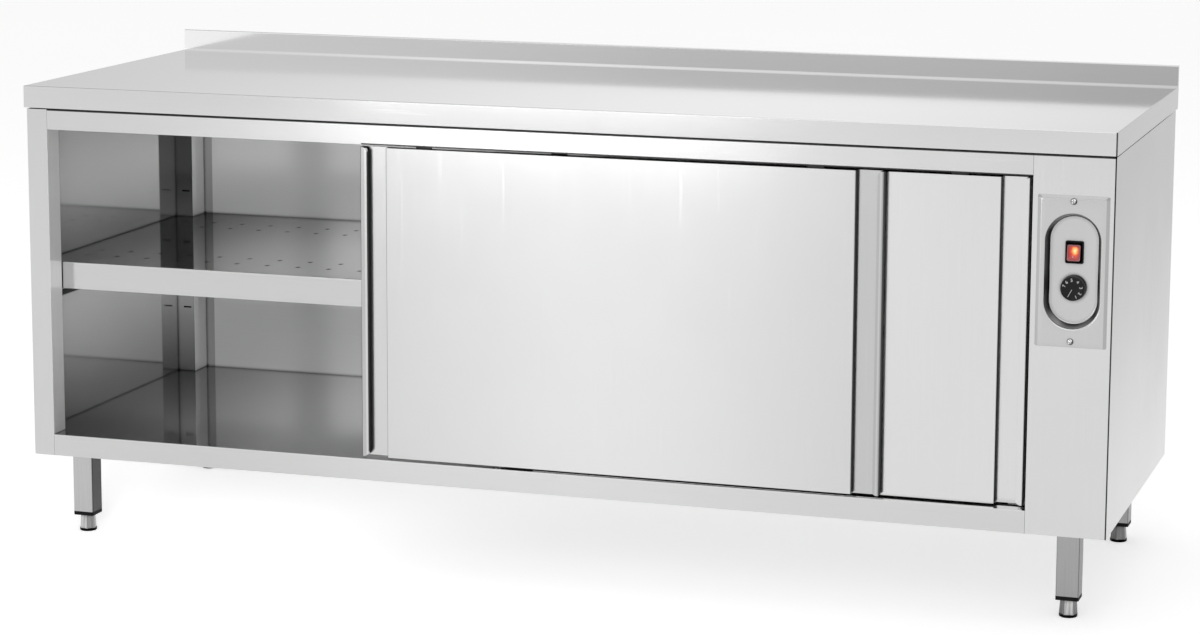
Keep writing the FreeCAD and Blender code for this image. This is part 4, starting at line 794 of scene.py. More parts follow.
@dataclass(frozen=True)
class PaleFloor:
    """Plain white floor that keeps the object's shadow and shows white in metal."""

    name: str = "pale_floor"
    albedo: float = 0.86
    stain: float = 0.985
    cloud_scale: float = 0.6
    roughness: float = 0.6
    lift: float = 0.52

    def build(self) -> Material:
        """Make the material."""
        draft = Draft(self.name)
        cloud = draft.noise(draft.place, self.cloud_scale)
        matt = draft.add("ShaderNodeBsdfDiffuse", {
            "Color": draft.mottled(cloud, grey(self.albedo * self.stain), grey(self.albedo)),
            "Roughness": self.roughness,
        })
        strength = draft.figure("MULTIPLY", seen_share(draft), self.lift)
        bright = draft.add("ShaderNodeEmission", {"Strength": strength})
        both = draft.add("ShaderNodeAddShader", {0: matt.outputs["BSDF"], 1: bright.outputs["Emission"]})
        draft.add("ShaderNodeOutputMaterial", {"Surface": both.outputs["Shader"]})
        return draft.material


@functools.cache
def material_of(finish: Finish) -> Material:
    """The one material of a finish, made when it is first asked for."""
    return finish.build()


# Painted light and shade: each fade brightens a sheet round one place and darkens it away from there. The two edge
# fades dim grazing reflections instead, as painted reflection shade.
MIDDLE_LIGHT = Fade((-0.05, -0.34, 0.80), (0.75, 4.0, 2.2), 0.86)
DOOR_LIGHT = Fade((0.08, -0.34, 0.80), (0.62, 4.0, 2.2), 0.78)
STRIP_LIGHT = Fade((-0.35, -0.34, 0.5), (1.0, 9.0, 9.0), 0.84)
TOWARDS_MIDDLE = Fade((-0.40, 0.0, 0.5), (0.60, 4.0, 4.0), 0.14, leftwards=True)
SHELF_LIGHT = Fade((-0.42, 0.0, 0.5), (0.60, 4.0, 4.0), 0.40, leftwards=True)
SHELF_EDGE = replace(SHELF_LIGHT, share=0.30)
TOP_EDGE = Fade((0.35, 0.35, 0.85), (1.5, 9.0, 9.0), 0.80)
UPSTAND_LIGHT = Fade((-1.1, 0.34, 0.87), (1.5, 0.5, 9.0), 0.575)
TOP_LIGHT = Fade((0.35, 0.0, 0.85), (1.5, 4.0, 4.0), 0.62)
LOW_LIGHT = Fade((1.0, 0.0, 0.1), (9.0, 4.0, 0.62), 0.47)
POST_LIGHT = Fade((-0.98, 0.28, 0.36), (4.0, 4.0, 0.26), 0.10)
WALL_LIGHT = Fade((-1.0, 0.0, 0.52), (4.0, 4.0, 0.34), 0.50)
FLANK_LIGHT = Fade((0.0, -0.342, 0.5), (9.0, 0.014, 9.0), 0.06)
WELL_LIGHT = Fade((0.929, -0.345, 0.613), (4.0, 0.020, 4.0), 0.18)

# Painted shade in the gap under the worktop and at the corners of the casing and the worktop.
UNDER_WORKTOP = Seam((-1.0, -0.345, 0.8046), (1.0, -0.335, 0.8080), 0.08)
CASING_CORNER = Seam((0.9956, -0.345, 0.1), (0.9990, -0.330, 0.9), 0.06)
WORKTOP_CORNER = Seam((0.9972, -0.352, 0.8), (0.9994, -0.3494, 0.852), 0.10)
# Painted highlights: the worktop's front edge and the bend of its upstand are brighter than the sheet.
WORKTOP_FRONT_HIGHLIGHT = Seam((-1.001, -0.352, 0.80), (1.001, -0.3496, 0.8498), 1.25)
BEND_HIGHLIGHT = Seam((-1.0, 0.3380, 0.8495), (1.0, 0.3402, 0.8528), 1.45)
FOOT_SOLE = Seam((-2.0, -1.0, -0.001), (2.0, 1.0, 0.0052), 0.015)
# Painted shade in the gap above the doors and behind and beside the rear left post.
ABOVE_DOORS = Seam((-0.340, -0.345, 0.7695), (0.86, -0.320, 0.7722), 0.08)
BEHIND_POST = Seam((-0.9975, 0.2811, 0.16), (-0.9612, 0.3378, 0.81), 0.03)
BESIDE_POST = Seam((-0.9602, 0.3300, 0.16), (-0.9420, 0.3378, 0.81), 0.55)
# Painted shade: dark stripes along the folds of the door grips and on the front door's lip.
STRIP_FOLD_SHADES = tuple(
    Seam((start, -0.345, 0.20), (end, -0.335, 0.77), level)
    for start, end, level in ((0.5958, 0.6003, 0.84), (0.6034, 0.6062, 0.80), (0.8370, 0.8450, 0.80)))
DOOR_LIP_SHADE = Seam((-0.3440, -0.345, 0.15), (-0.3345, -0.320, 0.80), 0.78)
# Painted shade on the pressed slopes along the top, right and left of the control plate.
PLATE_SLOPE_SHADES = (
    Seam((0.860, -0.345, 0.7355), (0.998, -0.330, 0.7415), 0.62),
    Seam((0.9835, -0.345, 0.4800), (0.9895, -0.330, 0.7355), 0.76),
    Seam((0.8685, -0.345, 0.4800), (0.8740, -0.330, 0.7350), 0.86),
)
SHELF_HOLE_SHADE = HoleRims(-0.8858, 0.06107, (-0.212, -0.154, 0.1628, 0.2208), 5.5 * MM, 8.0 * MM, 0.30)

# Outer steel with painted light round the middle of the front, and painted shade in corners, under the worktop, above
# the doors and at the casing's corner.
OUTER_ACROSS = BrushedSteel(
    "satin_steel_across", Axis.X, level=0.72, fade=MIDDLE_LIGHT, joint_reach=3.0 * MM,
    seams=(UNDER_WORKTOP, ABOVE_DOORS))
OUTER_UPRIGHT = BrushedSteel(
    "satin_steel_upright", Axis.Z, level=0.64, joint_reach=3.0 * MM, seams=(UNDER_WORKTOP, CASING_CORNER))
# The jamb's right-facing face is brighter, as painted light.
JAMB_STEEL = BrushedSteel(
    "jamb_steel", Axis.Z, level=0.61, joint_reach=3.0 * MM, mill=(MillFace(RIGHTWARDS, 0.8, 0.15, 0.3),))
# Left wall: painted shade in corners and behind the post, and an inner face with painted light that falls away from
# the wall's middle.
SIDE_STEEL = BrushedSteel(
    "side_steel", Axis.Y, level=0.64, joint_reach=6.0 * MM, seams=(BEHIND_POST,),
    mill=(MillFace(RIGHTWARDS, 0.90, 0.06, 0.88, WALL_LIGHT),))
# Right side: painted light brighter towards the bottom, and a darker inner face as painted shade.
RIGHT_SIDE_STEEL = BrushedSteel(
    "right_side_steel", Axis.Z, level=0.545, mill=(MillFace(LEFTWARDS, 0.5),), fade=LOW_LIGHT)
# Back wall: painted shade behind and beside the post and in corners, and a darker front face.
BACK_STEEL = BrushedSteel(
    "back_steel", Axis.X, level=0.64, joint_reach=6.0 * MM, seams=(BEHIND_POST, BESIDE_POST),
    mill=(MillFace(FORWARDS, 0.50, 0.12, 0.3),))
# Cabinet floor: painted light round the middle, brighter top faces whose painted light dims towards the left, and
# painted shade in corners.
FLOOR_STEEL = BrushedSteel(
    "floor_steel", Axis.X, level=0.70, joint_reach=6.0 * MM, fade=MIDDLE_LIGHT,
    mill=(MillFace(UPWARDS, 0.98, 0.05, 0.97, TOWARDS_MIDDLE),))
# Painted shade on the doors' right-facing flanks and top faces.
DARK_FLANKS = (
    MillFace(RIGHTWARDS, 0.18, 0.4, fade=FLANK_LIGHT, edge=0.55),
    MillFace(UPWARDS, 0.04, 0.4, edge=0.3),
)
# Door fronts with painted light round the middle and painted shade in corners; the rear door is a darker copy without
# the fade, as painted shade.
DOOR_STEEL = BrushedSteel(
    "door_steel", Axis.Z, level=0.77, roughness=0.15, patch_scale=1.4, fade=DOOR_LIGHT, joint_reach=3.0 * MM,
    mill=DARK_FLANKS)
REAR_DOOR_STEEL = replace(DOOR_STEEL, name="rear_door_steel", level=0.67, fade=None)
# Door backs with painted light along the strips and painted shade along the grips' folds and the front door's lip; the
# rear copy has no painted light across it.
DOOR_BACK_STEEL = BrushedSteel(
    "door_back_steel", Axis.Z, level=0.62, fade=STRIP_LIGHT, seams=(*STRIP_FOLD_SHADES, DOOR_LIP_SHADE), mill=DARK_FLANKS)
REAR_DOOR_BACK_STEEL = replace(
    DOOR_BACK_STEEL, name="rear_door_back_steel", level=0.66, fade=None, seams=STRIP_FOLD_SHADES)
# Worktop: painted highlights along the front and on the bend, painted shade at the right corner, painted reflection
# shade away from one place, and painted light on its top, its upstand and its right faces.
TOP_STEEL = BrushedSteel(
    "worktop_steel", Axis.X, level=0.68, roughness=0.09, patch_scale=1.7,
    seams=(WORKTOP_CORNER, WORKTOP_FRONT_HIGHLIGHT, BEND_HIGHLIGHT), edge_fade=TOP_EDGE, mill=(
        MillFace(UPWARDS, 0.68, 0.09, fade=TOP_LIGHT),
        MillFace(FORWARDS, 0.904, 0.09, fade=UPSTAND_LIGHT),
        MillFace(RIGHTWARDS, 0.37, 0.12)))
# Shelf: painted shade round its holes and in corners, painted reflection shade at its edges, and painted light on top
# that dims towards the left.
SHELF_STEEL = BrushedSteel(
    "shelf_steel", Axis.X, level=0.58, roughness=0.12, joint_reach=6.0 * MM, seams=(SHELF_HOLE_SHADE,),
    edge_fade=SHELF_EDGE, mill=(MillFace(UPWARDS, 0.98, 0.05, 0.97, SHELF_LIGHT),))
INNER_ACROSS = BrushedSteel("inner_steel_across", Axis.X, level=0.50, roughness=0.07, relief=1e-6)
INNER_UPRIGHT = replace(INNER_ACROSS, name="inner_steel_upright", grain=Axis.Z)
# Rear posts: painted shade behind the post and in corners, a darker front face whose painted light fades away from one
# place, and a brighter right face.
POST_STEEL = BrushedSteel(
    "post_steel", Axis.Z, level=0.60, roughness=0.08, relief=1e-6, joint_reach=6.0 * MM, seams=(BEHIND_POST,),
    mill=(MillFace(FORWARDS, 0.33, 0.08, 0.5, POST_LIGHT), MillFace(RIGHTWARDS, 0.80, 0.08, 0.25)))
# Control plate: painted shade on its slopes, in its well and on its right, top, bottom and left faces, with painted
# light that fades across the well.
PLATE_STEEL = BrushedSteel(
    "pressed_plate_steel", Axis.Z, level=0.54, roughness=0.20, relief=1e-6, joint_reach=8.0 * MM,
    seams=PLATE_SLOPE_SHADES, mill=(
        MillFace(RIGHTWARDS, 0.17, 0.25, 1.0, WELL_LIGHT, 0.55, 0.9, 0.4),
        MillFace(UPWARDS, 0.30, 0.2, 1.0, WELL_LIGHT, 0.65, 0.95, 0.6),
        MillFace(DOWNWARDS, 0.14, 0.2),
        MillFace(LEFTWARDS, 0.10, 0.2, edge=0.4)))
# Legs: painted shade in corners and on the right faces; the right legs are a darker copy, as painted shade.
LEFT_LEG_STEEL = BrushedSteel(
    "left_leg_steel", Axis.Z, level=0.50, roughness=0.18, brush_across=620.0, contrast=0.09, joint_reach=8.0 * MM,
    mill=(MillFace(RIGHTWARDS, 0.055, 0.2),))
RIGHT_LEG_STEEL = replace(
    LEFT_LEG_STEEL, name="right_leg_steel", level=0.36, mill=(MillFace(RIGHTWARDS, 0.17, 0.2, edge=0.80),))
# Feet: painted shade on both side faces and in corners, and a black sole of their own colour; the rear feet are a
# darker copy, as painted shade.
FOOT_STEEL = BrushedSteel(
    "foot_steel", Axis.Z, level=0.50, warmth=0.005, roughness=0.12, brush_across=260.0, brush_along=4.0,
    contrast=0.55, seams=(FOOT_SOLE,), joint_reach=8.0 * MM,
    mill=(MillFace(RIGHTWARDS, 0.20, 0.14), MillFace(LEFTWARDS, 0.16, 0.14)))
REAR_FOOT_STEEL = replace(
    FOOT_STEEL, name="rear_foot_steel", level=0.24, contrast=0.5,
    mill=(MillFace(RIGHTWARDS, 0.08, 0.14), MillFace(LEFTWARDS, 0.06, 0.14)))
GALVANISED = GalvanisedSheet()
ZINC = PlatedSteel("zinc_plated_steel")
# Door hangers near black, as painted shade under the top rail; the roughness is their own dull finish.
DULL_SHADED_ZINC = PlatedSteel("dull_zinc", level=0.05, roughness=0.45)
BRIGHT_SCREW = PlatedSteel("polished_screw_steel", level=0.82, warmth=0.0, roughness=0.09)
# Plate screw heads with painted shade in the recess and on the flank, and a painted shadow on the lower right side.
PLATE_SCREW = PlatedSteel(
    "plate_screw_steel", level=0.90, warmth=0.0, roughness=0.09, recess_reach=2.5 * MM, facing=FORWARDS,
    shaded=(0.8, 0.0, -0.6))
ALUMINIUM = PressedProfile()
BLACK_PLASTIC = MouldedPlastic("black_plastic", (0.008, 0.008, 0.009), gloss=0.12, roughness=0.55, dust=0.03)
SWITCH_BLACK = MouldedPlastic("switch_plastic", (0.006, 0.006, 0.007), 0.3, relief=6e-6, dust=0.02, gloss=0.1)
KNOB_BLACK = MouldedPlastic("knob_plastic", (0.019, 0.019, 0.021), 0.34, relief=8e-6, dust=0.03, gloss=0.15)
RUBBER = MouldedPlastic("stop_rubber", (0.022, 0.021, 0.02), roughness=0.72, relief=3e-5, gloss=0.3)
NYLON = MouldedPlastic("roller_nylon", (0.035, 0.035, 0.037), roughness=0.36, dust=0.1)
POLYAMIDE = MouldedPlastic("terminal_polyamide", (0.72, 0.70, 0.62), roughness=0.4, dust=0.15)
MOTOR_PAINT = MouldedPlastic("motor_enamel", (0.045, 0.047, 0.05), 0.28, 700.0, relief=4e-5, dust=0.1)
WHITE_MARK = MouldedPlastic("printed_white", (0.82, 0.82, 0.80), roughness=0.5, relief=4e-6, dust=0.0)
WOOL = MineralWool()
SHEATH = TintedSheath()
SLEEVE = BraidedSleeve()


def link(name: str, data: bpy.types.ID) -> Piece:
    """Put a mesh, a lamp or a camera in the scene as an object at the origin.

    Args:
        name: What the object is called.
        data: What it holds, for a mesh with its place in its points.

    Returns:
        The object.
    """
    piece = bpy.data.objects.new(name, data)
    bpy.context.scene.collection.objects.link(piece)
    return piece


def settle(piece: Piece, finish: Finish, slot: str, body: str, *nodes: str) -> Piece:
    """Give a piece its finish, the body that it rides on and the nodes that it stands for.

    Args:
        piece: The piece.
        finish: What its surface is.
        slot: The record's material slot; not used.
        body: The body that it moves with.
        *nodes: Solids that it stands for.

    Returns:
        The piece.
    """
    piece.data.materials.clear()
    piece.data.materials.append(material_of(finish))
    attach(piece, body)
    if nodes:
        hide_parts(*nodes)
    log.info("%s rides on %s", piece.name, body)
    return piece


def body_of(node: str) -> str:
    """The body that a solid belongs to."""
    return frame["nodes"][node]["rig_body"]


def paint(node: str, finish: Finish) -> Piece:
    """Give a solid that stays as it is its finish.

    Args:
        node: The solid's name.
        finish: What its surface is.

    Returns:
        The solid's object.
    """
    solid = frame["nodes"][node]
    if not solid.data.materials:
        solid.data.materials.append(None)
    for holder in solid.material_slots:
        holder.link = "OBJECT"
        holder.material = material_of(finish)
    log.info("%s stays, in %s", node, finish.name)
    return solid


def smooth(mesh: Mesh, degrees: float = 30.0) -> None:
    """Shade a mesh smooth except across folds above an angle."""
    mesh.shade_smooth()
    mesh.set_sharp_from_angle(angle=math.radians(degrees))


def moved(mesh: Mesh, turn: Matrix) -> Mesh:
    """The same mesh with its points turned and shifted."""
    mesh.transform(turn)
    return mesh


def evaluated_mesh(piece: Piece) -> Mesh:
    """A plain mesh of what an object's modifiers or its curves make."""
    depsgraph = bpy.context.evaluated_depsgraph_get()
    return bpy.data.meshes.new_from_object(piece.evaluated_get(depsgraph), depsgraph=depsgraph)


def flatten_modifiers(piece: Piece) -> Piece:
    """Turn a piece and its modifiers into a plain mesh.

    Args:
        piece: The piece.

    Returns:
        The same piece.
    """
    mesh = evaluated_mesh(piece)
    piece.modifiers.clear()
    piece.data = mesh
    return piece


def weigh_normals(piece: Piece) -> Piece:
    """Keep wide flat faces flat where they meet narrow rounded ones.

    Args:
        piece: The piece.

    Returns:
        The same piece, as a plain mesh.
    """
    modifier = piece.modifiers.new("weighted", "WEIGHTED_NORMAL")
    modifier.mode = "FACE_AREA"
    modifier.weight = FLAT_WEIGHT
    modifier.keep_sharp = True
    return flatten_modifiers(piece)


def welded(node: str, distance: float = WELD) -> bmesh.types.BMesh:
    """A copy of a solid's mesh with its points joined.

    Args:
        node: The solid's name.
        distance: How far apart points are joined.

    Returns:
        The copy, to be freed by the caller.
    """
    shape = bmesh.new()
    shape.from_mesh(frame["nodes"][node].data)
    bmesh.ops.remove_doubles(shape, verts=shape.verts, dist=distance)
    return shape


def mesh_of(shape: bmesh.types.BMesh, name: str) -> Mesh:
    """A plain mesh of a worked shape, which is freed.

    Args:
        shape: The worked shape.
        name: What the mesh is called.

    Returns:
        The mesh.
    """
    data = bpy.data.meshes.new(name)
    shape.to_mesh(data)
    shape.free()
    return data


@dataclass(frozen=True)
class Folding:
    """How the folds and cut edges of a sheet are rounded on a copy of its solid."""

    radius: float = 1.4 * MM
    segments: int = 3
    least_edge: float = 18.0 * MM
    least_flank: float = 3.2 * MM
    weld: float = 0.01 * MM
    flat_degrees: float = 0.5
    fold_degrees: float = 60.0
    sharp_degrees: float = 33.0

    def flank(self, face: bmesh.types.BMFace, edge: bmesh.types.BMEdge) -> float:
        """How far a face reaches away from one of its edges.

        Args:
            face: The face.
            edge: Its edge.

        Returns:
            The reach in metres.
        """
        start = edge.verts[0].co
        along = (edge.verts[1].co - start).normalized()
        return max(((vert.co - start) - along * (vert.co - start).dot(along)).length for vert in face.verts)

    def is_fold(self, edge: bmesh.types.BMEdge) -> bool:
        """Whether an edge is a fold that gets rounded.

        Args:
            edge: The edge.

        Returns:
            True for an outer fold between two wide faces.
        """
        if len(edge.link_faces) != 2 or edge.calc_length() < self.least_edge or not edge.is_convex:
            return False
        if edge.calc_face_angle(0.0) < math.radians(self.fold_degrees):
            return False
        return all(self.flank(face, edge) >= self.least_flank for face in edge.link_faces)

    def copy(self, node: str, name: str) -> Piece:
        """A copy of a solid with its flat faces whole and its folds rounded.

        Args:
            node: The solid's name.
            name: What the copy is called.

        Returns:
            The copy as a piece at the origin.
        """
        shape = welded(node, self.weld)
        bmesh.ops.dissolve_limit(
            shape, angle_limit=math.radians(self.flat_degrees), verts=shape.verts, edges=shape.edges,
            use_dissolve_boundaries=False)
        folds = [edge for edge in shape.edges if self.is_fold(edge)]
        if folds and self.radius:
            bmesh.ops.bevel(
                shape, geom=folds, offset=self.radius, offset_type="OFFSET", segments=self.segments, profile=0.5,
                affect="EDGES", clamp_overlap=True)
        data = mesh_of(shape, name)
        smooth(data, self.sharp_degrees)
        return weigh_normals(link(name, data))


SHEET_FOLDS = Folding()
LIP_FOLDS = Folding(radius=2.6 * MM, segments=4)
FINE_FOLDS = Folding(radius=0.5 * MM, least_edge=2.0 * MM, least_flank=1.0 * MM)
NO_FOLDS = Folding(radius=0.0)


def dress_sheet(node: str, finish: Finish, slot: str, folding: Folding = SHEET_FOLDS) -> Piece:
    """Replace a solid by its rounded copy, in a finish."""
    return settle(folding.copy(node, f"{node}_sheet"), finish, slot, body_of(node), node)


def dress_sheets(*rows: tuple[str, Finish, str] | tuple[str, Finish, str, Folding]) -> Iterator[Piece]:
    """Replace several solids, each row with what dress_sheet asks for."""
    return (dress_sheet(*row) for row in rows)


class Pattern(Tree):
    """A Geometry Nodes tree with named inputs, run once and left as a plain mesh."""

    def __init__(self, name: str, on_places: bool = False) -> None:
        """Start a tree.

        Args:
            name: What the tree is called.
            on_places: Whether it reads the points of its host mesh.
        """
        super().__init__(bpy.data.node_groups.new(name, "GeometryNodeTree"))
        self.tree.interface.new_socket("Result", in_out="OUTPUT", socket_type="NodeSocketGeometry")
        self.identifiers: dict[str, str] = {}
        self.entry = self.tree.nodes.new("NodeGroupInput")
        if on_places:
            self.ask("Places", "Geometry")
        self.finish_input = self.ask("Finish", "Material")

    def ask(self, name: str, kind: str) -> Socket:
        """Add a named input.

        Args:
            name: What it is called.
            kind: What its socket carries.

        Returns:
            The socket inside the tree.
        """
        item = self.tree.interface.new_socket(name, in_out="INPUT", socket_type=f"NodeSocket{kind}")
        self.identifiers[name] = item.identifier
        return self.entry.outputs[name]

    def copies_on(self, points: Socket, turn: Socket) -> Socket:
        """Copies of the small shape that the tree asks for.

        Args:
            points: Where they go.
            turn: How each one is turned.

        Returns:
            The copies.
        """
        shape = self.add("GeometryNodeObjectInfo", {"Object": self.ask("Shape", "Object")}).outputs["Geometry"]
        inputs = {"Points": points, "Instance": shape, "Rotation": turn}
        return self.add("GeometryNodeInstanceOnPoints", inputs).outputs["Instances"]

    def close(self, shape: Socket) -> "Pattern":
        """End the tree with real geometry in its finish.

        Args:
            shape: What the tree has made.

        Returns:
            The same tree.
        """
        real = self.add("GeometryNodeRealizeInstances", {"Geometry": shape}).outputs["Geometry"]
        made = self.add("GeometryNodeSetMaterial", {"Geometry": real, "Material": self.finish_input})
        self.add("NodeGroupOutput", {"Result": made.outputs["Geometry"]})
        return self

    def grow(self, name: str, finish: Finish, places: Mesh | None = None, **answers: Answer) -> Piece:
        """Run the tree and keep its result as a plain mesh.

        Args:
            name: What the piece is called.
            finish: The finish that it sets.
            places: A mesh whose points the tree reads.
            **answers: A value for each named input.

        Returns:
            The piece at the origin.
        """
        host = link(name, places or bpy.data.meshes.new(name))
        modifier = host.modifiers.new("pattern", "NODES")
        modifier.node_group = self.tree
        for question, answer in {"Finish": material_of(finish), **answers}.items():
            modifier[self.identifiers[question]] = answer
        flatten_modifiers(host)
        smooth(host.data)
        return host


def copies_tree() -> Pattern:
    """The tree that sets a copy of a small shape on each point of its host.

    Returns:
        The tree, with the inputs Shape and Turn.
    """
    pattern = Pattern("copies_on_points", on_places=True)
    return pattern.close(pattern.copies_on(pattern.entry.outputs["Places"], pattern.ask("Turn", "Rotation")))


def ring_tree() -> Pattern:
    """The tree that sets copies of a small shape round a ring, each facing outwards.

    Returns:
        The tree, with the inputs Shape, Count, Radius, Turn and Place.
    """
    pattern = Pattern("copies_round_a_ring")
    sizes = {"Vertices": pattern.ask("Count", "Int"), "Radius": pattern.ask("Radius", "Float")}
    ring = pattern.add("GeometryNodeMeshCircle", sizes)
    place = pattern.add("GeometryNodeInputPosition").outputs["Position"]
    outwards = pattern.add("FunctionNodeAlignRotationToVector", {"Vector": place}, axis="X", pivot_axis="Z")
    placed = pattern.add("GeometryNodeTransform", {
        "Geometry": pattern.copies_on(ring.outputs["Mesh"], outwards.outputs["Rotation"]),
        "Rotation": pattern.ask("Turn", "Rotation"),
        "Translation": pattern.ask("Place", "Vector"),
    })
    return pattern.close(placed.outputs["Geometry"])


def thread_tree() -> Pattern:
    """The tree that winds a screw thread round the Z axis.

    Returns:
        The tree, with the inputs Radius, Turns, Length, Depth and Place.
    """
    pattern = Pattern("screw_thread")
    radius = pattern.ask("Radius", "Float")
    helix = pattern.add("GeometryNodeCurveSpiral", {
        "Resolution": THREAD_STEPS,
        "Rotations": pattern.ask("Turns", "Float"),
        "Start Radius": radius,
        "End Radius": radius,
        "Height": pattern.ask("Length", "Float"),
    })
    ridge = pattern.add("GeometryNodeCurvePrimitiveCircle", {
        "Resolution": THREAD_SIDES, "Radius": pattern.ask("Depth", "Float")})
    wound = pattern.add("GeometryNodeCurveToMesh", {
        "Curve": helix.outputs["Curve"], "Profile Curve": ridge.outputs["Curve"], "Fill Caps": True})
    placed = pattern.add("GeometryNodeTransform", {
        "Geometry": wound.outputs["Mesh"], "Translation": pattern.ask("Place", "Vector")})
    return pattern.close(placed.outputs["Geometry"])


@functools.cache
def pattern_of(maker: Callable[[], Pattern]) -> Pattern:
    """The one tree that a maker draws, drawn when it is first asked for."""
    return maker()


def turned_mesh(name: str, profile: Sequence[tuple[float, float]], sides: int) -> Mesh:
    """A closed shape turned about the Z axis.

    Args:
        name: What the mesh is called.
        profile: Points as radius and height, from the top middle to the bottom middle.
        sides: How many sides the turning has.

    Returns:
        The mesh.
    """
    shape = bmesh.new()
    rings = []
    for radius, height in profile:
        angles = [2 * math.pi * side / sides for side in range(sides if radius else 1)]
        rings.append([shape.verts.new((radius * math.cos(a), radius * math.sin(a), height)) for a in angles])
    for upper, lower in zip(rings, rings[1:]):
        for side in range(sides):
            corners = [upper[side % len(upper)], lower[side % len(lower)]]
            after = (side + 1) % sides
            corners += [lower[after % len(lower)], upper[after % len(upper)]]
            unique = list(dict.fromkeys(corners))
            if len(unique) > 2:
                shape.faces.new(unique)
    bmesh.ops.recalc_face_normals(shape, faces=shape.faces)
    return mesh_of(shape, name)


@dataclass(frozen=True)
class Outline:
    """An upright rectangle with rounded corners, square to Y, as one ring of a pressed shape."""

    half_width: float
    half_height: float
    corner: float
    depth: float

    def reach(self, angle: float) -> float:
        """How far the outline lies from its middle.

        Args:
            angle: The direction, in radians from +X towards +Z.

        Returns:
            The distance.
        """
        across, upright = abs(math.cos(angle)), abs(math.sin(angle))
        flat_x, flat_z = self.half_width - self.corner, self.half_height - self.corner
        if upright * self.half_width <= across * flat_z:
            return self.half_width / across
        if across * self.half_height <= upright * flat_x:
            return self.half_height / upright
        along = across * flat_x + upright * flat_z
        return along + math.sqrt(max(along**2 - flat_x**2 - flat_z**2 + self.corner**2, 0.0))

    def corners(self, steps: int) -> list[float]:
        """The directions of places on the four rounded corners.

        Args:
            steps: How many places there are on a corner, less one.

        Returns:
            The directions between 0 and a full turn.
        """
        found = []
        for quarter, (across, upright) in enumerate(((1, 1), (-1, 1), (-1, -1), (1, -1))):
            for step in range(steps + 1):
                turn = QUARTER * (quarter + step / steps)
                x = across * (self.half_width - self.corner) + self.corner * math.cos(turn)
                z = upright * (self.half_height - self.corner) + self.corner * math.sin(turn)
                found.append(math.atan2(z, x) % (2 * math.pi))
        return found


def inset_rings(half: tuple[float, float], rows: Sequence[Point], front: float = 0.0) -> list[Outline]:
    """Rings inside an edge.

    Args:
        half: Half the width and half the height of the edge.
        rows: The inset, corner and depth of each ring, in millimetres.
        front: Where the depths are measured from along Y.

    Returns:
        The rings.
    """
    width, height = half
    return [Outline(width - inset * MM, height - inset * MM, corner * MM, front + depth * MM)
            for inset, corner, depth in rows]


def pressed_mesh(
    name: str, middle: Sequence[float], outlines: Sequence[Outline], hollow: float = 0.0, steps: int = 8
) -> Mesh:
    """A closed shape skinned over outlines, from the front one round to the back one.

    Args:
        name: What the mesh is called.
        middle: The middle that the outlines are drawn about, whose Y is left out.
        outlines: The outlines in order.
        hollow: How deep the first outlines are dished between their top and bottom.
        steps: How finely the rounded corners are divided.

    Returns:
        The mesh.
    """
    angles = sorted({round(angle, 5) for outline in outlines for angle in outline.corners(steps)})
    shape = bmesh.new()
    rings = []
    front = max(outline.half_height for outline in outlines)
    least = min(outline.depth for outline in outlines)
    for outline in outlines:
        ring = []
        for angle in angles:
            reach = outline.reach(angle)
            x, z = reach * math.cos(angle), reach * math.sin(angle)
            dished = hollow * (1 - (z / front) ** 2) if outline.depth - least < hollow else 0.0
            ring.append(shape.verts.new((middle[0] + x, outline.depth + dished, middle[2] + z)))
        rings.append(ring)
    for one, other in zip(rings, rings[1:]):
        for index in range(len(angles)):
            after = (index + 1) % len(angles)
            shape.faces.new((one[index], one[after], other[after], other[index]))
    for end in (rings[0], rings[-1]):
        shape.faces.new(end)
    bmesh.ops.remove_doubles(shape, verts=shape.verts, dist=WELD)
    bmesh.ops.recalc_face_normals(shape, faces=shape.faces)
    return mesh_of(shape, name)


def text_mesh(name: str, words: str, height: float, thickness: float) -> Mesh:
    """Raised characters that lie square to Z about the origin.

    Args:
        name: What the mesh is called.
        words: The characters.
        height: How tall the font's line is.
        thickness: How far they stand out.

    Returns:
        The mesh.
    """
    curve = bpy.data.curves.new(name, "FONT")
    curve.body = words
    curve.size = height
    curve.extrude = thickness / 2
    curve.offset = height * DIGIT_BOLDNESS
    curve.align_x = "CENTER"
    curve.align_y = "CENTER"
    scrap = link(name, curve)
    mesh = evaluated_mesh(scrap)
    bpy.data.objects.remove(scrap)
    return mesh


def islands(node: str) -> list[tuple[Vector, Vector]]:
    """The lowest and highest corner of each separate solid of a node.

    Args:
        node: The node's name.

    Returns:
        The corners, solid by solid.
    """
    shape = welded(node)
    shape.transform(frame["nodes"][node].matrix_world)
    left = set(shape.verts)
    boxes = []
    while left:
        front = [left.pop()]
        found = list(front)
        while front:
            near = {vertex for edge in front.pop().link_edges for vertex in edge.verts} & left
            left -= near
            front += near
            found += near
        low, high = (Vector(pick(vertex.co[axis] for vertex in found) for axis in range(3)) for pick in (min, max))
        boxes.append((low, high))
    shape.free()
    return boxes


def box_mesh(name: str, low: Vector, high: Vector) -> Mesh:
    """A block between two corners.

    Args:
        name: What the mesh is called.
        low: Its lowest corner.
        high: Its highest corner.

    Returns:
        The mesh.
    """
    shape = bmesh.new()
    bmesh.ops.create_cube(shape, size=1.0)
    bmesh.ops.scale(shape, vec=high - low, verts=shape.verts)
    bmesh.ops.translate(shape, vec=(high + low) / 2, verts=shape.verts)
    return mesh_of(shape, name)


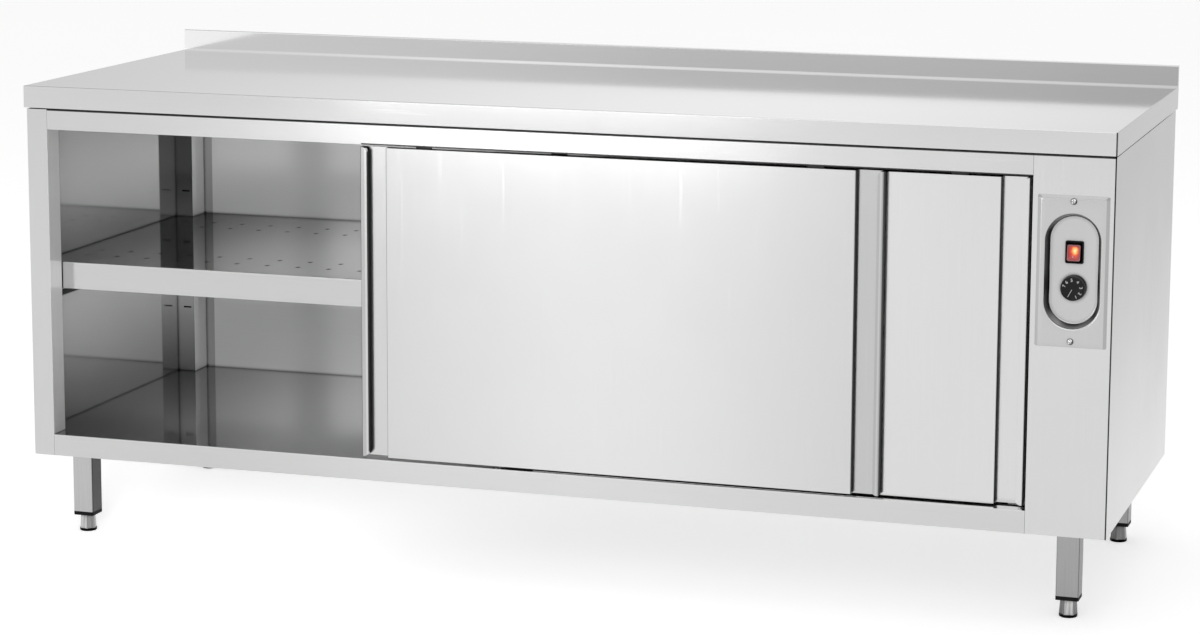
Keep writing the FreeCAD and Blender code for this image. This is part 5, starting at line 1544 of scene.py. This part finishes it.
def carve(piece: Piece, cutters: Sequence[Piece]) -> Piece:
    """Cut shapes out of a piece.

    Args:
        piece: The piece.
        cutters: The shapes, which are thrown away.

    Returns:
        The same piece, as a plain mesh.
    """
    for cutter in cutters:
        modifier = piece.modifiers.new("carve", "BOOLEAN")
        modifier.object = cutter
        modifier.operation = "DIFFERENCE"
        modifier.solver = "EXACT"
    flatten_modifiers(piece)
    for cutter in cutters:
        bpy.data.objects.remove(cutter)
    return piece


@dataclass(frozen=True)
class ScrewHead:
    """A domed screw head with a cross recess, drawn with its seat at zero and its dome up."""

    radius: float
    height: float = 2.4 * MM
    shank_radius: float = 2.0 * MM
    shank_length: float = 9.0 * MM
    rim: float = 0.5 * MM
    recess_reach: float = 2.3 * MM
    recess_width: float = 0.9 * MM
    recess_depth: float = 1.3 * MM
    steps: int = 7
    sides: int = 40

    def build(self, name: str) -> Piece:
        """Make the head as a scrap object for a tree to copy.

        Args:
            name: What the object is called.

        Returns:
            The object.
        """
        dome = self.height - self.rim
        turns = [QUARTER * step / self.steps for step in range(self.steps + 1)]
        profile = [(self.radius * math.sin(turn), self.rim + dome * math.cos(turn)) for turn in turns]
        profile += [(self.radius, 0.0), (self.shank_radius, 0.0)]
        profile += [(self.shank_radius, -self.shank_length), (0.0, -self.shank_length)]
        reach, half = self.recess_reach, self.recess_width / 2
        low, high = self.height - self.recess_depth, self.height * 2
        cutters = [
            link(cut, box_mesh(cut, Vector((-x, -y, low)), Vector((x, y, high))))
            for cut, x, y in (("recess_across", reach, half), ("recess_upright", half, reach))]
        return carve(link(name, turned_mesh(name, profile, self.sides)), cutters)


def copies(
    name: str, shape: Piece, finish: Finish, places: Sequence[Point], turn: Point = ORIGIN
) -> Piece:
    """One piece made of copies of a shape, which is thrown away.

    Args:
        name: What the piece is called.
        shape: The shape at the origin.
        finish: Its finish.
        places: Where its copies go.
        turn: How each copy is turned, in radians about X, Y and Z.

    Returns:
        The piece.
    """
    points = bpy.data.meshes.new(f"{name}_points")
    points.from_pydata(places, [], [])
    piece = pattern_of(copies_tree).grow(name, finish, points, Shape=shape, Turn=turn)
    bpy.data.objects.remove(shape)
    return piece


@dataclass
class Worktop:
    """The worktop with its upstand, and the stiffeners under it."""

    def dress(self) -> Iterator[Piece]:
        """Build and finish the pieces."""
        yield dress_sheet("worktop", TOP_STEEL, "stainless_satin", NO_FOLDS)
        yield dress_sheet("worktop_stiffeners", GALVANISED, "galvanised_steel")


@dataclass
class CabinetBody:
    """The welded body: rails, jambs, panels, posts and the casing of the controls."""

    head: ScrewHead = ScrewHead(4.5 * MM)

    def outer_sheets(self) -> dict[str, BrushedSteel]:
        """The sheets that show outside, each with its brushing."""
        return {
            "top_rail": OUTER_ACROSS,
            "bottom_panel": FLOOR_STEEL,
            "left_jamb": JAMB_STEEL,
            "control_casing": OUTER_UPRIGHT,
            "left_side_panel": SIDE_STEEL,
            "right_side_panel": RIGHT_SIDE_STEEL,
            "back_panel": BACK_STEEL,
            "service_cover": OUTER_ACROSS,
        }

    def inner_sheets(self) -> dict[str, BrushedSteel]:
        """The sheets that show inside, each with its brushing."""
        return {
            "ceiling_panel": INNER_ACROSS,
            "rear_left_post": POST_STEEL,
            "rear_right_post": POST_STEEL,
            "front_right_post": INNER_UPRIGHT,
            "inner_partition": INNER_UPRIGHT,
        }

    def dress(self) -> Iterator[Piece]:
        """Build and finish the pieces."""
        for slot, sheets in (("stainless_satin", self.outer_sheets()), ("stainless_inner", self.inner_sheets())):
            for node, finish in sheets.items():
                yield dress_sheet(node, finish, slot)
        yield from self.screws()

    def screws(self) -> Iterator[Piece]:
        """Set the screws under the worktop and those of the service cover."""
        under, behind = [], []
        for low, high in islands("panel_screws"):
            middle = (low + high) / 2
            if high.z - low.z > high.x - low.x:
                under.append((middle.x, middle.y, low.z + self.head.height))
            else:
                behind.append((middle.x, high.y - self.head.height, middle.z))
        for name, places, turn in (
            ("worktop_screw_heads", under, (math.pi, 0.0, 0.0)),
            ("service_screw_heads", behind, (-QUARTER, 0.0, 0.0)),
        ):
            screws = copies(name, self.head.build(f"{name}_shape"), BRIGHT_SCREW, places, turn)
            yield settle(screws, BRIGHT_SCREW, "zinc_screws", body_of("panel_screws"), "panel_screws")


class DoorEnd(Enum):
    """Which of the two sliding doors."""

    FRONT = "front"
    REAR = "rear"


@dataclass
class SlidingDoor:
    """A double-skinned door with its grips, filling, hangers and rollers."""

    end: DoorEnd

    def dress(self) -> Iterator[Piece]:
        """Build and finish the pieces."""
        prefix = f"{self.end.value}_door"
        # The rear door takes copies of the steel with their own painted light and shade.
        panel, back = {
            DoorEnd.FRONT: (DOOR_STEEL, DOOR_BACK_STEEL),
            DoorEnd.REAR: (REAR_DOOR_STEEL, REAR_DOOR_BACK_STEEL),
        }[self.end]
        yield from dress_sheets(
            (f"{prefix}_panel", panel, "stainless_satin", LIP_FOLDS),
            (f"{prefix}_back", back, "stainless_satin"),
            (f"{prefix}_hangers", DULL_SHADED_ZINC, "zinc_screws", FINE_FOLDS),
            (f"{prefix}_roller_left", NYLON, "roller_plastic", NO_FOLDS),
            (f"{prefix}_roller_right", NYLON, "roller_plastic", NO_FOLDS),
        )
        yield paint(f"{prefix}_core", WOOL)


@dataclass
class DoorTrack:
    """The track that both doors hang from, its stops and the guide on the floor."""

    def dress(self) -> Iterator[Piece]:
        """Build and finish the pieces."""
        yield dress_sheet("door_track", ALUMINIUM, "aluminium_profile", FINE_FOLDS)
        yield dress_sheet("track_end_stops", RUBBER, "rubber_stops", FINE_FOLDS)
        yield dress_sheet("door_floor_guide", BLACK_PLASTIC, "black_plastic", FINE_FOLDS)


@dataclass
class ShelfUnit:
    """The lift-out shelf and the two angles that carry it."""

    def dress(self) -> Iterator[Piece]:
        """Build and finish the pieces."""
        yield dress_sheet("shelf", SHELF_STEEL, "stainless_satin")
        for side in ("left", "right"):
            yield dress_sheet(f"shelf_support_{side}", INNER_ACROSS, "stainless_inner")


@dataclass
class Legs:
    """Four square legs with their inserts, studs and levelling feet."""

    spindle_radius: float = 4.8 * MM
    spindle_bottom: float = 32.0 * MM
    thread_pitch: float = 1.5 * MM
    thread_depth: float = 0.22 * MM

    def thread(self, foot: str) -> Piece:
        """Wind the thread of one foot's spindle.

        Args:
            foot: The foot's node.

        Returns:
            The thread.
        """
        low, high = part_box(foot)
        length = high.z - self.spindle_bottom - self.thread_pitch
        thread = pattern_of(thread_tree).grow(
            f"{foot}_thread", ZINC, Radius=self.spindle_radius, Turns=length / self.thread_pitch, Length=length,
            Depth=self.thread_depth, Place=((low.x + high.x) / 2, (low.y + high.y) / 2, self.spindle_bottom))
        return settle(thread, ZINC, "zinc_screws", body_of(foot))

    def dress(self) -> Iterator[Piece]:
        """Build and finish the pieces."""
        # The rear feet and the right legs take darker copies of the steel, as painted shade.
        for end, foot_steel in (("front", FOOT_STEEL), ("rear", REAR_FOOT_STEEL)):
            for side, leg_steel in (("left", LEFT_LEG_STEEL), ("right", RIGHT_LEG_STEEL)):
                foot = f"{end}_{side}_levelling_foot"
                yield dress_sheet(f"{end}_{side}_leg", leg_steel, "stainless_satin")
                yield dress_sheet(foot, foot_steel, "zinc_screws", NO_FOLDS)
                yield self.thread(foot)
        yield dress_sheet("leg_inserts", BLACK_PLASTIC, "black_plastic", FINE_FOLDS)
        yield dress_sheet("leg_studs", ZINC, "zinc_screws", NO_FOLDS)


@dataclass
class ControlPlate:
    """The pressed plate with its deep well, and its two screws."""

    slope_width: float = 6.0 * MM
    slope: tuple[tuple[float, float], ...] = (
        (1.2, 0.0), (1.0, 0.04), (0.8, 0.18), (0.3, 0.7), (0.1, 0.85), (0.0, 1.0))
    corner: float = 3.0 * MM
    sheet: float = 1.0 * MM
    well_half: tuple[float, float] = (47.75 * MM, 98.25 * MM)
    well_depth: float = 20.0 * MM
    floor_inset: float = 7.75 * MM
    middle_inset: float = 30.0 * MM
    plate_depth: float = 2.0 * MM
    corner_steps: int = 14
    rim: tuple[tuple[float, float], ...] = ((-1.5, 0.0), (-0.3, 0.12), (0.8, 0.7), (1.6, 1.8), (2.0, 3.2))
    foot: tuple[tuple[float, float], ...] = ((-1.8, -3.5), (-1.4, -2.0), (-0.7, -0.8), (0.5, -0.15), (2.0, 0.0))
    head: ScrewHead = ScrewHead(
        5.3 * MM, recess_reach=3.7 * MM, recess_width=1.9 * MM, recess_depth=2.0 * MM)
    switch_hole: Point = (13.0 * MM, 5.0 * MM, 17.0 * MM)
    spindle_hole: Point = (4.5 * MM, 5.0 * MM, 4.5 * MM)

    def well(self, inset: float, depth: float) -> Outline:
        """A ring round the well, so far inside the well's edge and at a place along Y."""
        half_width, half_height = (half - inset for half in self.well_half)
        return Outline(half_width, half_height, half_width, depth)

    def outlines(self, low: Vector, high: Vector) -> list[Outline]:
        """The rings of the plate from the middle of the well to the middle of its back.

        Args:
            low: The plate's lowest corner.
            high: Its highest corner.

        Returns:
            The rings.
        """
        front, floor, back = low.y, low.y + self.well_depth, low.y + self.plate_depth
        half_width, half_height = (high.x - low.x) / 2, (high.z - low.z) / 2
        rings = [self.well(self.middle_inset, floor)]
        rings += [self.well(self.floor_inset + inset * MM, floor + drop * MM) for inset, drop in reversed(self.foot)]
        rings += [self.well(inset * MM, front + drop * MM) for inset, drop in reversed(self.rim)]
        for share, drop in self.slope:
            inset = self.slope_width * share
            depth = front + self.plate_depth * drop
            rings.append(Outline(half_width - inset, half_height - inset, self.corner, depth))
        return [*rings, self.well(-self.sheet, back), self.well(self.floor_inset - self.sheet, floor + self.sheet)]

    def holes(self, floor: float) -> list[Piece]:
        """Cutters for the holes of the switch and of the thermostat's spindle.

        Args:
            floor: Where the floor of the well lies along Y.

        Returns:
            The cutters.
        """
        cutters = []
        for node, half in (("switch_housing", self.switch_hole), ("thermostat_knob", self.spindle_hole)):
            place = sum(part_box(node), Vector()) / 2
            place.y = floor
            cutters.append(link(f"{node}_hole", box_mesh(f"{node}_hole", place - Vector(half), place + Vector(half))))
        return cutters

    def dress(self) -> Iterator[Piece]:
        """Build and finish the pieces."""
        low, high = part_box("control_plate")
        name = "control_plate_pressing"
        plate = link(name, pressed_mesh(name, (low + high) / 2, self.outlines(low, high), steps=self.corner_steps))
        carve(plate, self.holes(low.y + self.well_depth))
        smooth(plate.data, PRESSED_DEGREES)
        yield settle(plate, PLATE_STEEL, "stainless_satin", body_of("control_plate"), "control_plate")
        seats = [(start + end) / 2 for start, end in islands("control_plate_screws")]
        places = [(seat.x, low.y, seat.z) for seat in seats]
        head = self.head.build("plate_head")
        screws = copies("control_plate_screw_heads", head, PLATE_SCREW, places, (QUARTER, 0.0, 0.0))
        yield settle(screws, PLATE_SCREW, "zinc_screws", body_of("control_plate_screws"), "control_plate_screws")


@dataclass
class Switch:
    """The rocker switch: its black bezel and the lit red rocker, tilted to on.

    The rings of the bezel and of the rocker are rows of inset, corner and depth in millimetres.
    """

    tilt: float = math.radians(9.0)
    pivot_depth: float = 3.5 * MM
    offset: tuple[float, float] = (-0.9 * MM, -1.6 * MM)
    bezel_rings: tuple[Point, ...] = (
        (2.4, 1.8, 13.0), (2.4, 1.8, 0.5), (2.1, 2.0, 0.15), (1.8, 2.2, 0.0), (0.9, 2.4, 0.0),
        (0.3, 2.8, 0.25), (0.0, 3.0, 0.8), (0.0, 3.0, 2.5), (2.0, 1.0, 2.5))
    bezel_end: Point = (2.0, 1.0, 0.0)
    window: tuple[float, float] = (8.9 * MM, 11.3 * MM)
    window_shares: tuple[float, ...] = (0.12, 0.45, 0.78, 0.97)
    window_corner: float = 2.2 * MM
    window_depth: float = -5.2 * MM
    window_edge: Point = (0.0, 2.4, -5.6)
    half: tuple[float, float] = (11.4 * MM, 13.9 * MM)
    rocker_rings: tuple[Point, ...] = (
        (0.9, 2.6, -5.6), (0.35, 2.8, -5.4), (0.0, 3.0, -4.7), (0.0, 2.6, -2.4), (0.0, 2.0, 0.0), (0.2, 2.0, 8.0))
    hollow: float = 2.0 * MM
    mark_size: Point = (0.9 * MM, 0.3 * MM, 4.2 * MM)
    mark_place: Point = (-1.2 * MM, -3.75 * MM, -6.3 * MM)
    lamp_place: Point = (1.8 * MM, -3.0 * MM, 3.6 * MM)

    def bezel(self, low: Vector, high: Vector) -> list[Outline]:
        """The rings of the housing from the bottom of its opening round to its back, between two corners."""
        half = ((high.x - low.x) / 2, (high.z - low.z) / 2)
        return inset_rings(half, self.bezel_rings, low.y) + inset_rings(half, (self.bezel_end,), high.y)

    def rocker(self) -> list[Outline]:
        """The rings of the rocker about its pivot, from its middle round to its back.

        Returns:
            The rings.
        """
        width, height = self.window
        rings = [Outline(width * share, height * share, self.window_corner * share, self.window_depth)
                 for share in self.window_shares]
        return rings + inset_rings(self.window, (self.window_edge,)) + inset_rings(self.half, self.rocker_rings)

    def dress(self) -> Iterator[Piece]:
        """Build and finish the pieces."""
        low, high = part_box("switch_housing")
        middle = (low + high) / 2
        housing = link("switch_bezel", pressed_mesh("switch_bezel", middle, self.bezel(low, high)))
        smooth(housing.data, PRESSED_DEGREES)
        yield settle(housing, SWITCH_BLACK, "black_plastic", body_of("switch_housing"), "switch_housing")
        pivot = Vector((middle.x + self.offset[0], low.y + self.pivot_depth, middle.z + self.offset[1]))
        turn = Matrix.Translation(pivot) @ Matrix.Rotation(-self.tilt, 4, "X")
        lens = pressed_mesh("lit_rocker", ORIGIN, self.rocker(), self.hollow)
        rocker = link("lit_rocker", moved(lens, turn))
        smooth(rocker.data, PRESSED_DEGREES)
        body = body_of("power_rocker")
        finish = LitLens("red_lens", tuple(turn @ Vector(self.lamp_place)), tuple(pivot), self.window)
        yield settle(rocker, finish, "red_lens", body, "power_rocker")
        place, half = Vector(self.mark_place), Vector(self.mark_size) / 2
        mark = moved(box_mesh("rocker_on_mark", place - half, place + half), turn)
        yield settle(link("rocker_on_mark", mark), WHITE_MARK, "red_lens", body)


@dataclass
class Thermostat:
    """The thermostat with its spindle, sensor and numbered knob."""

    radius: float = 20.4 * MM
    height: float = 12.0 * MM
    sides: int = 96
    face_inset: float = 2.6 * MM
    face_drop: float = 0.2 * MM
    rim: tuple[tuple[float, float], ...] = (
        (2.2, 0.05), (1.8, 0.0), (1.1, 0.0), (0.4, 0.35), (0.05, 1.1), (0.0, 2.2))
    skirt: tuple[float, float] = (0.2 * MM, 0.3 * MM)
    bore: tuple[float, float] = (3.05 * MM, 8.0 * MM)
    ribs: int = 46
    rib_sides: int = 8
    rib_radius: float = 0.55 * MM
    rib_tip: tuple[tuple[float, float], ...] = ((0.0, 0.0), (0.7, 0.2 * MM), (1.0, 0.9 * MM))
    rib_span: tuple[float, float] = (0.6 * MM, 9.8 * MM)
    digit_height: float = 7.4 * MM
    digit_circle: float = 14.4 * MM
    digit_turns: tuple[float, ...] = (155.0, 121.0, 81.0, 37.0, -6.0, -43.0, -73.0)
    pointer_turn: float = 208.0
    pointer_start: float = 1.5 * MM
    pointer_size: Point = (0.9 * MM, 15.8 * MM, 0.12 * MM)
    pointer_drop: float = 0.04 * MM

    def profile(self) -> list[tuple[float, float]]:
        """The knob's outline as radius and height, from the middle of its face to its bore.

        Returns:
            The outline.
        """
        radius, height = self.radius, self.height
        face = height - self.face_drop
        rim = [(radius - inset * MM, height - drop * MM) for inset, drop in self.rim]
        skirt = (radius + self.skirt[0], self.skirt[1])
        bore, end = self.bore
        return [(0.0, face), (radius - self.face_inset, face), *rim, skirt, (radius, 0.0), (bore, 0.0), (bore, end),
                (0.0, end)]

    def marks(self) -> Mesh:
        """The pointer and the numbers, square to Z about the knob's middle.

        Returns:
            One mesh of them all.
        """
        width, length, thickness = self.pointer_size
        top = self.height
        low = Vector((-width / 2, self.pointer_start, top - 2 * thickness))
        pointer = box_mesh("pointer", low, Vector((width / 2, length, top - self.pointer_drop)))
        whole = bmesh.new()
        whole.from_mesh(moved(pointer, Matrix.Rotation(-math.radians(self.pointer_turn), 4, "Z")))
        out = Matrix.Translation((0.0, self.digit_circle, top - thickness))
        for number, degrees in enumerate(self.digit_turns, start=1):
            digit = text_mesh(f"digit_{number}", str(number), self.digit_height, thickness)
            whole.from_mesh(moved(digit, Matrix.Rotation(-math.radians(degrees), 4, "Z") @ out))
        return mesh_of(whole, "knob_marks")

    def rib(self) -> Piece:
        """One rib of the knob as a scrap object for a tree to copy.

        Returns:
            The object.
        """
        start, end = self.rib_span
        tip = [(self.rib_radius * share, end - drop) for share, drop in self.rib_tip]
        return link("rib", turned_mesh("rib", [*tip, (self.rib_radius, start), (0.0, start)], self.rib_sides))

    def dress(self) -> Iterator[Piece]:
        """Build and finish the pieces."""
        low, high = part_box("thermostat_knob")
        place = ((low.x + high.x) / 2, high.y, (low.z + high.z) / 2)
        body = body_of("thermostat_knob")
        turn = Matrix.Translation(place) @ Matrix.Rotation(QUARTER, 4, "X")
        knob = link("numbered_knob", moved(turned_mesh("numbered_knob", self.profile(), self.sides), turn))
        smooth(knob.data)
        yield settle(knob, KNOB_BLACK, "knob_plastic", body, "thermostat_knob")
        rib = self.rib()
        ribs = pattern_of(ring_tree).grow(
            "knob_ribs", KNOB_BLACK, Shape=rib, Count=self.ribs, Radius=self.radius, Turn=(QUARTER, 0.0, 0.0),
            Place=place)
        bpy.data.objects.remove(rib)
        yield settle(ribs, KNOB_BLACK, "knob_plastic", body)
        yield settle(link("knob_numbers", moved(self.marks(), turn)), WHITE_MARK, "knob_plastic", body)
        yield dress_sheet("thermostat_body", POLYAMIDE, "terminal_plastic", FINE_FOLDS)
        yield dress_sheet("thermostat_spindle", ZINC, "zinc_screws", NO_FOLDS)
        yield dress_sheet("thermostat_sensor", INNER_ACROSS, "stainless_inner", NO_FOLDS)


@dataclass
class Heater:
    """The fan heater, its guards and the terminals."""

    def dress(self) -> Iterator[Piece]:
        """Build and finish the pieces."""
        yield from dress_sheets(
            ("heater_box", GALVANISED, "galvanised_steel"),
            ("heating_element", SHEATH, "heater_sheath", NO_FOLDS),
            ("fan_impeller", GALVANISED, "galvanised_steel", NO_FOLDS),
            ("fan_motor", MOTOR_PAINT, "motor_paint", FINE_FOLDS),
            ("overheat_limiter", BLACK_PLASTIC, "black_plastic", NO_FOLDS),
            ("terminal_block", POLYAMIDE, "terminal_plastic", FINE_FOLDS),
            ("cable_gland", BLACK_PLASTIC, "black_plastic", NO_FOLDS),
            ("wiring", SLEEVE, "loom_sleeve", NO_FOLDS),
        )


@dataclass
class Softbox:
    """One large lamp with a plain face."""

    name: str
    place: Point
    aim: Point
    width: float
    height: float
    radiance: float
    mirrored: bool = True
    beam_degrees: float = 180.0

    def build(self) -> Piece:
        """Make the lamp."""
        data = bpy.data.lights.new(self.name, "AREA")
        data.shape = "RECTANGLE"
        data.size = self.width
        data.size_y = self.height
        data.spread = math.radians(self.beam_degrees)
        data.energy = self.radiance * math.pi * self.width * self.height
        lamp = link(self.name, data)
        lamp.location = self.place
        away = Vector(self.aim) - Vector(self.place)
        lamp.rotation_euler = away.to_track_quat("-Z", "Y").to_euler()
        lamp.visible_glossy = self.mirrored
        return lamp


@dataclass
class Studio:
    """The floor, the world, the lamps and the camera."""

    floor_half: float = 40.0
    world_low: float = 0.50
    camera_place: Point = (1.81793, -5.63761, 1.52351)
    camera_across: Point = (0.9512927, 0.3082648, 0.0038824)
    camera_up: Point = (-0.0534334, 0.1524647, 0.9868634)
    camera_back: Point = (0.3036233, -0.9390034, 0.1615102)
    lens: float = 97.4567
    sensor: float = 36.0
    shift: float = -0.06
    farthest: float = 200.0

    def floor(self) -> Piece:
        """Lay the floor.

        Returns:
            The floor.
        """
        half = self.floor_half
        mesh = bpy.data.meshes.new("floor")
        corners = [(-half, -half, 0.0), (half, -half, 0.0), (half, half, 0.0), (-half, half, 0.0)]
        mesh.from_pydata(corners, [], [(0, 1, 2, 3)])
        mesh.materials.append(material_of(PaleFloor()))
        floor = link("floor", mesh)
        floor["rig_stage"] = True
        return floor

    def world(self) -> World:
        """Hang the even white surroundings.

        Returns:
            The world.
        """
        world = bpy.data.worlds.new("surroundings")
        world.use_nodes = True
        world.node_tree.nodes.clear()
        tree = Tree(world.node_tree)
        inputs = {"Value": seen_share(tree), "To Min": self.world_low, "To Max": 1.0}
        strength = tree.add("ShaderNodeMapRange", inputs).outputs["Result"]
        sky = tree.add("ShaderNodeBackground", {"Color": (1.0, 1.0, 1.0, 1.0), "Strength": strength})
        tree.add("ShaderNodeOutputWorld", {"Surface": sky.outputs["Background"]})
        bpy.context.scene.world = world
        return world

    def lamps(self) -> list[Piece]:
        """Set up the soft lamps.

        Returns:
            The lamps.
        """
        aim = (0.0, 0.0, 0.5)
        boxes = [
            Softbox("front_softbox", (0.9, -5.0, 3.6), aim, 4.5, 2.6, 0.8),
            Softbox("low_softbox", (-2.2, -7.0, 0.55), (-0.2, 0.0, 0.2), 1.6, 0.9, 3.0),
            Softbox("top_softbox", (0.4, 0.6, 4.2), aim, 4.0, 3.0, 0.6),
            Softbox("inner_fill", (-0.40, -1.3, 0.60), (-0.72, 0.0, 0.46), 0.5, 0.6, 2.0, False, 50.0),
        ]
        return [box.build() for box in boxes]

    def camera(self) -> Piece:
        """Set up the camera where the photograph was taken from.

        Returns:
            The camera.
        """
        data = bpy.data.cameras.new("camera")
        data.sensor_fit = "HORIZONTAL"
        data.sensor_width = self.sensor
        data.lens = self.lens
        data.shift_y = self.shift
        data.clip_end = self.farthest
        camera = link("camera", data)
        turn = Matrix((self.camera_across, self.camera_up, self.camera_back)).transposed().to_4x4()
        camera.matrix_world = Matrix.Translation(self.camera_place) @ turn
        bpy.context.scene.camera = camera
        return camera

    def build(self) -> None:
        """Set up everything round the object."""
        self.floor()
        self.world()
        self.lamps()
        self.camera()
        bpy.context.scene.view_settings.view_transform = "Standard"


def main() -> None:
    """Dress the cabinet, set up the studio and work out the sizes."""
    logging.basicConfig(level=logging.INFO, format="%(message)s")
    assemblies = (
        Worktop(),
        CabinetBody(),
        DoorTrack(),
        SlidingDoor(DoorEnd.FRONT),
        SlidingDoor(DoorEnd.REAR),
        ShelfUnit(),
        Legs(),
        ControlPlate(),
        Switch(),
        Thermostat(),
        Heater(),
    )
    for assembly in assemblies:
        pieces = list(assembly.dress())
        log.info("%s: %d pieces", type(assembly).__name__, len(pieces))
    Studio().build()
    boxes = {"solids": SOLIDS_BOX, "visual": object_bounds()}
    sizes = {name: [list(corner) for corner in box] for name, box in boxes.items()}


if __name__ == "__main__":
    main()
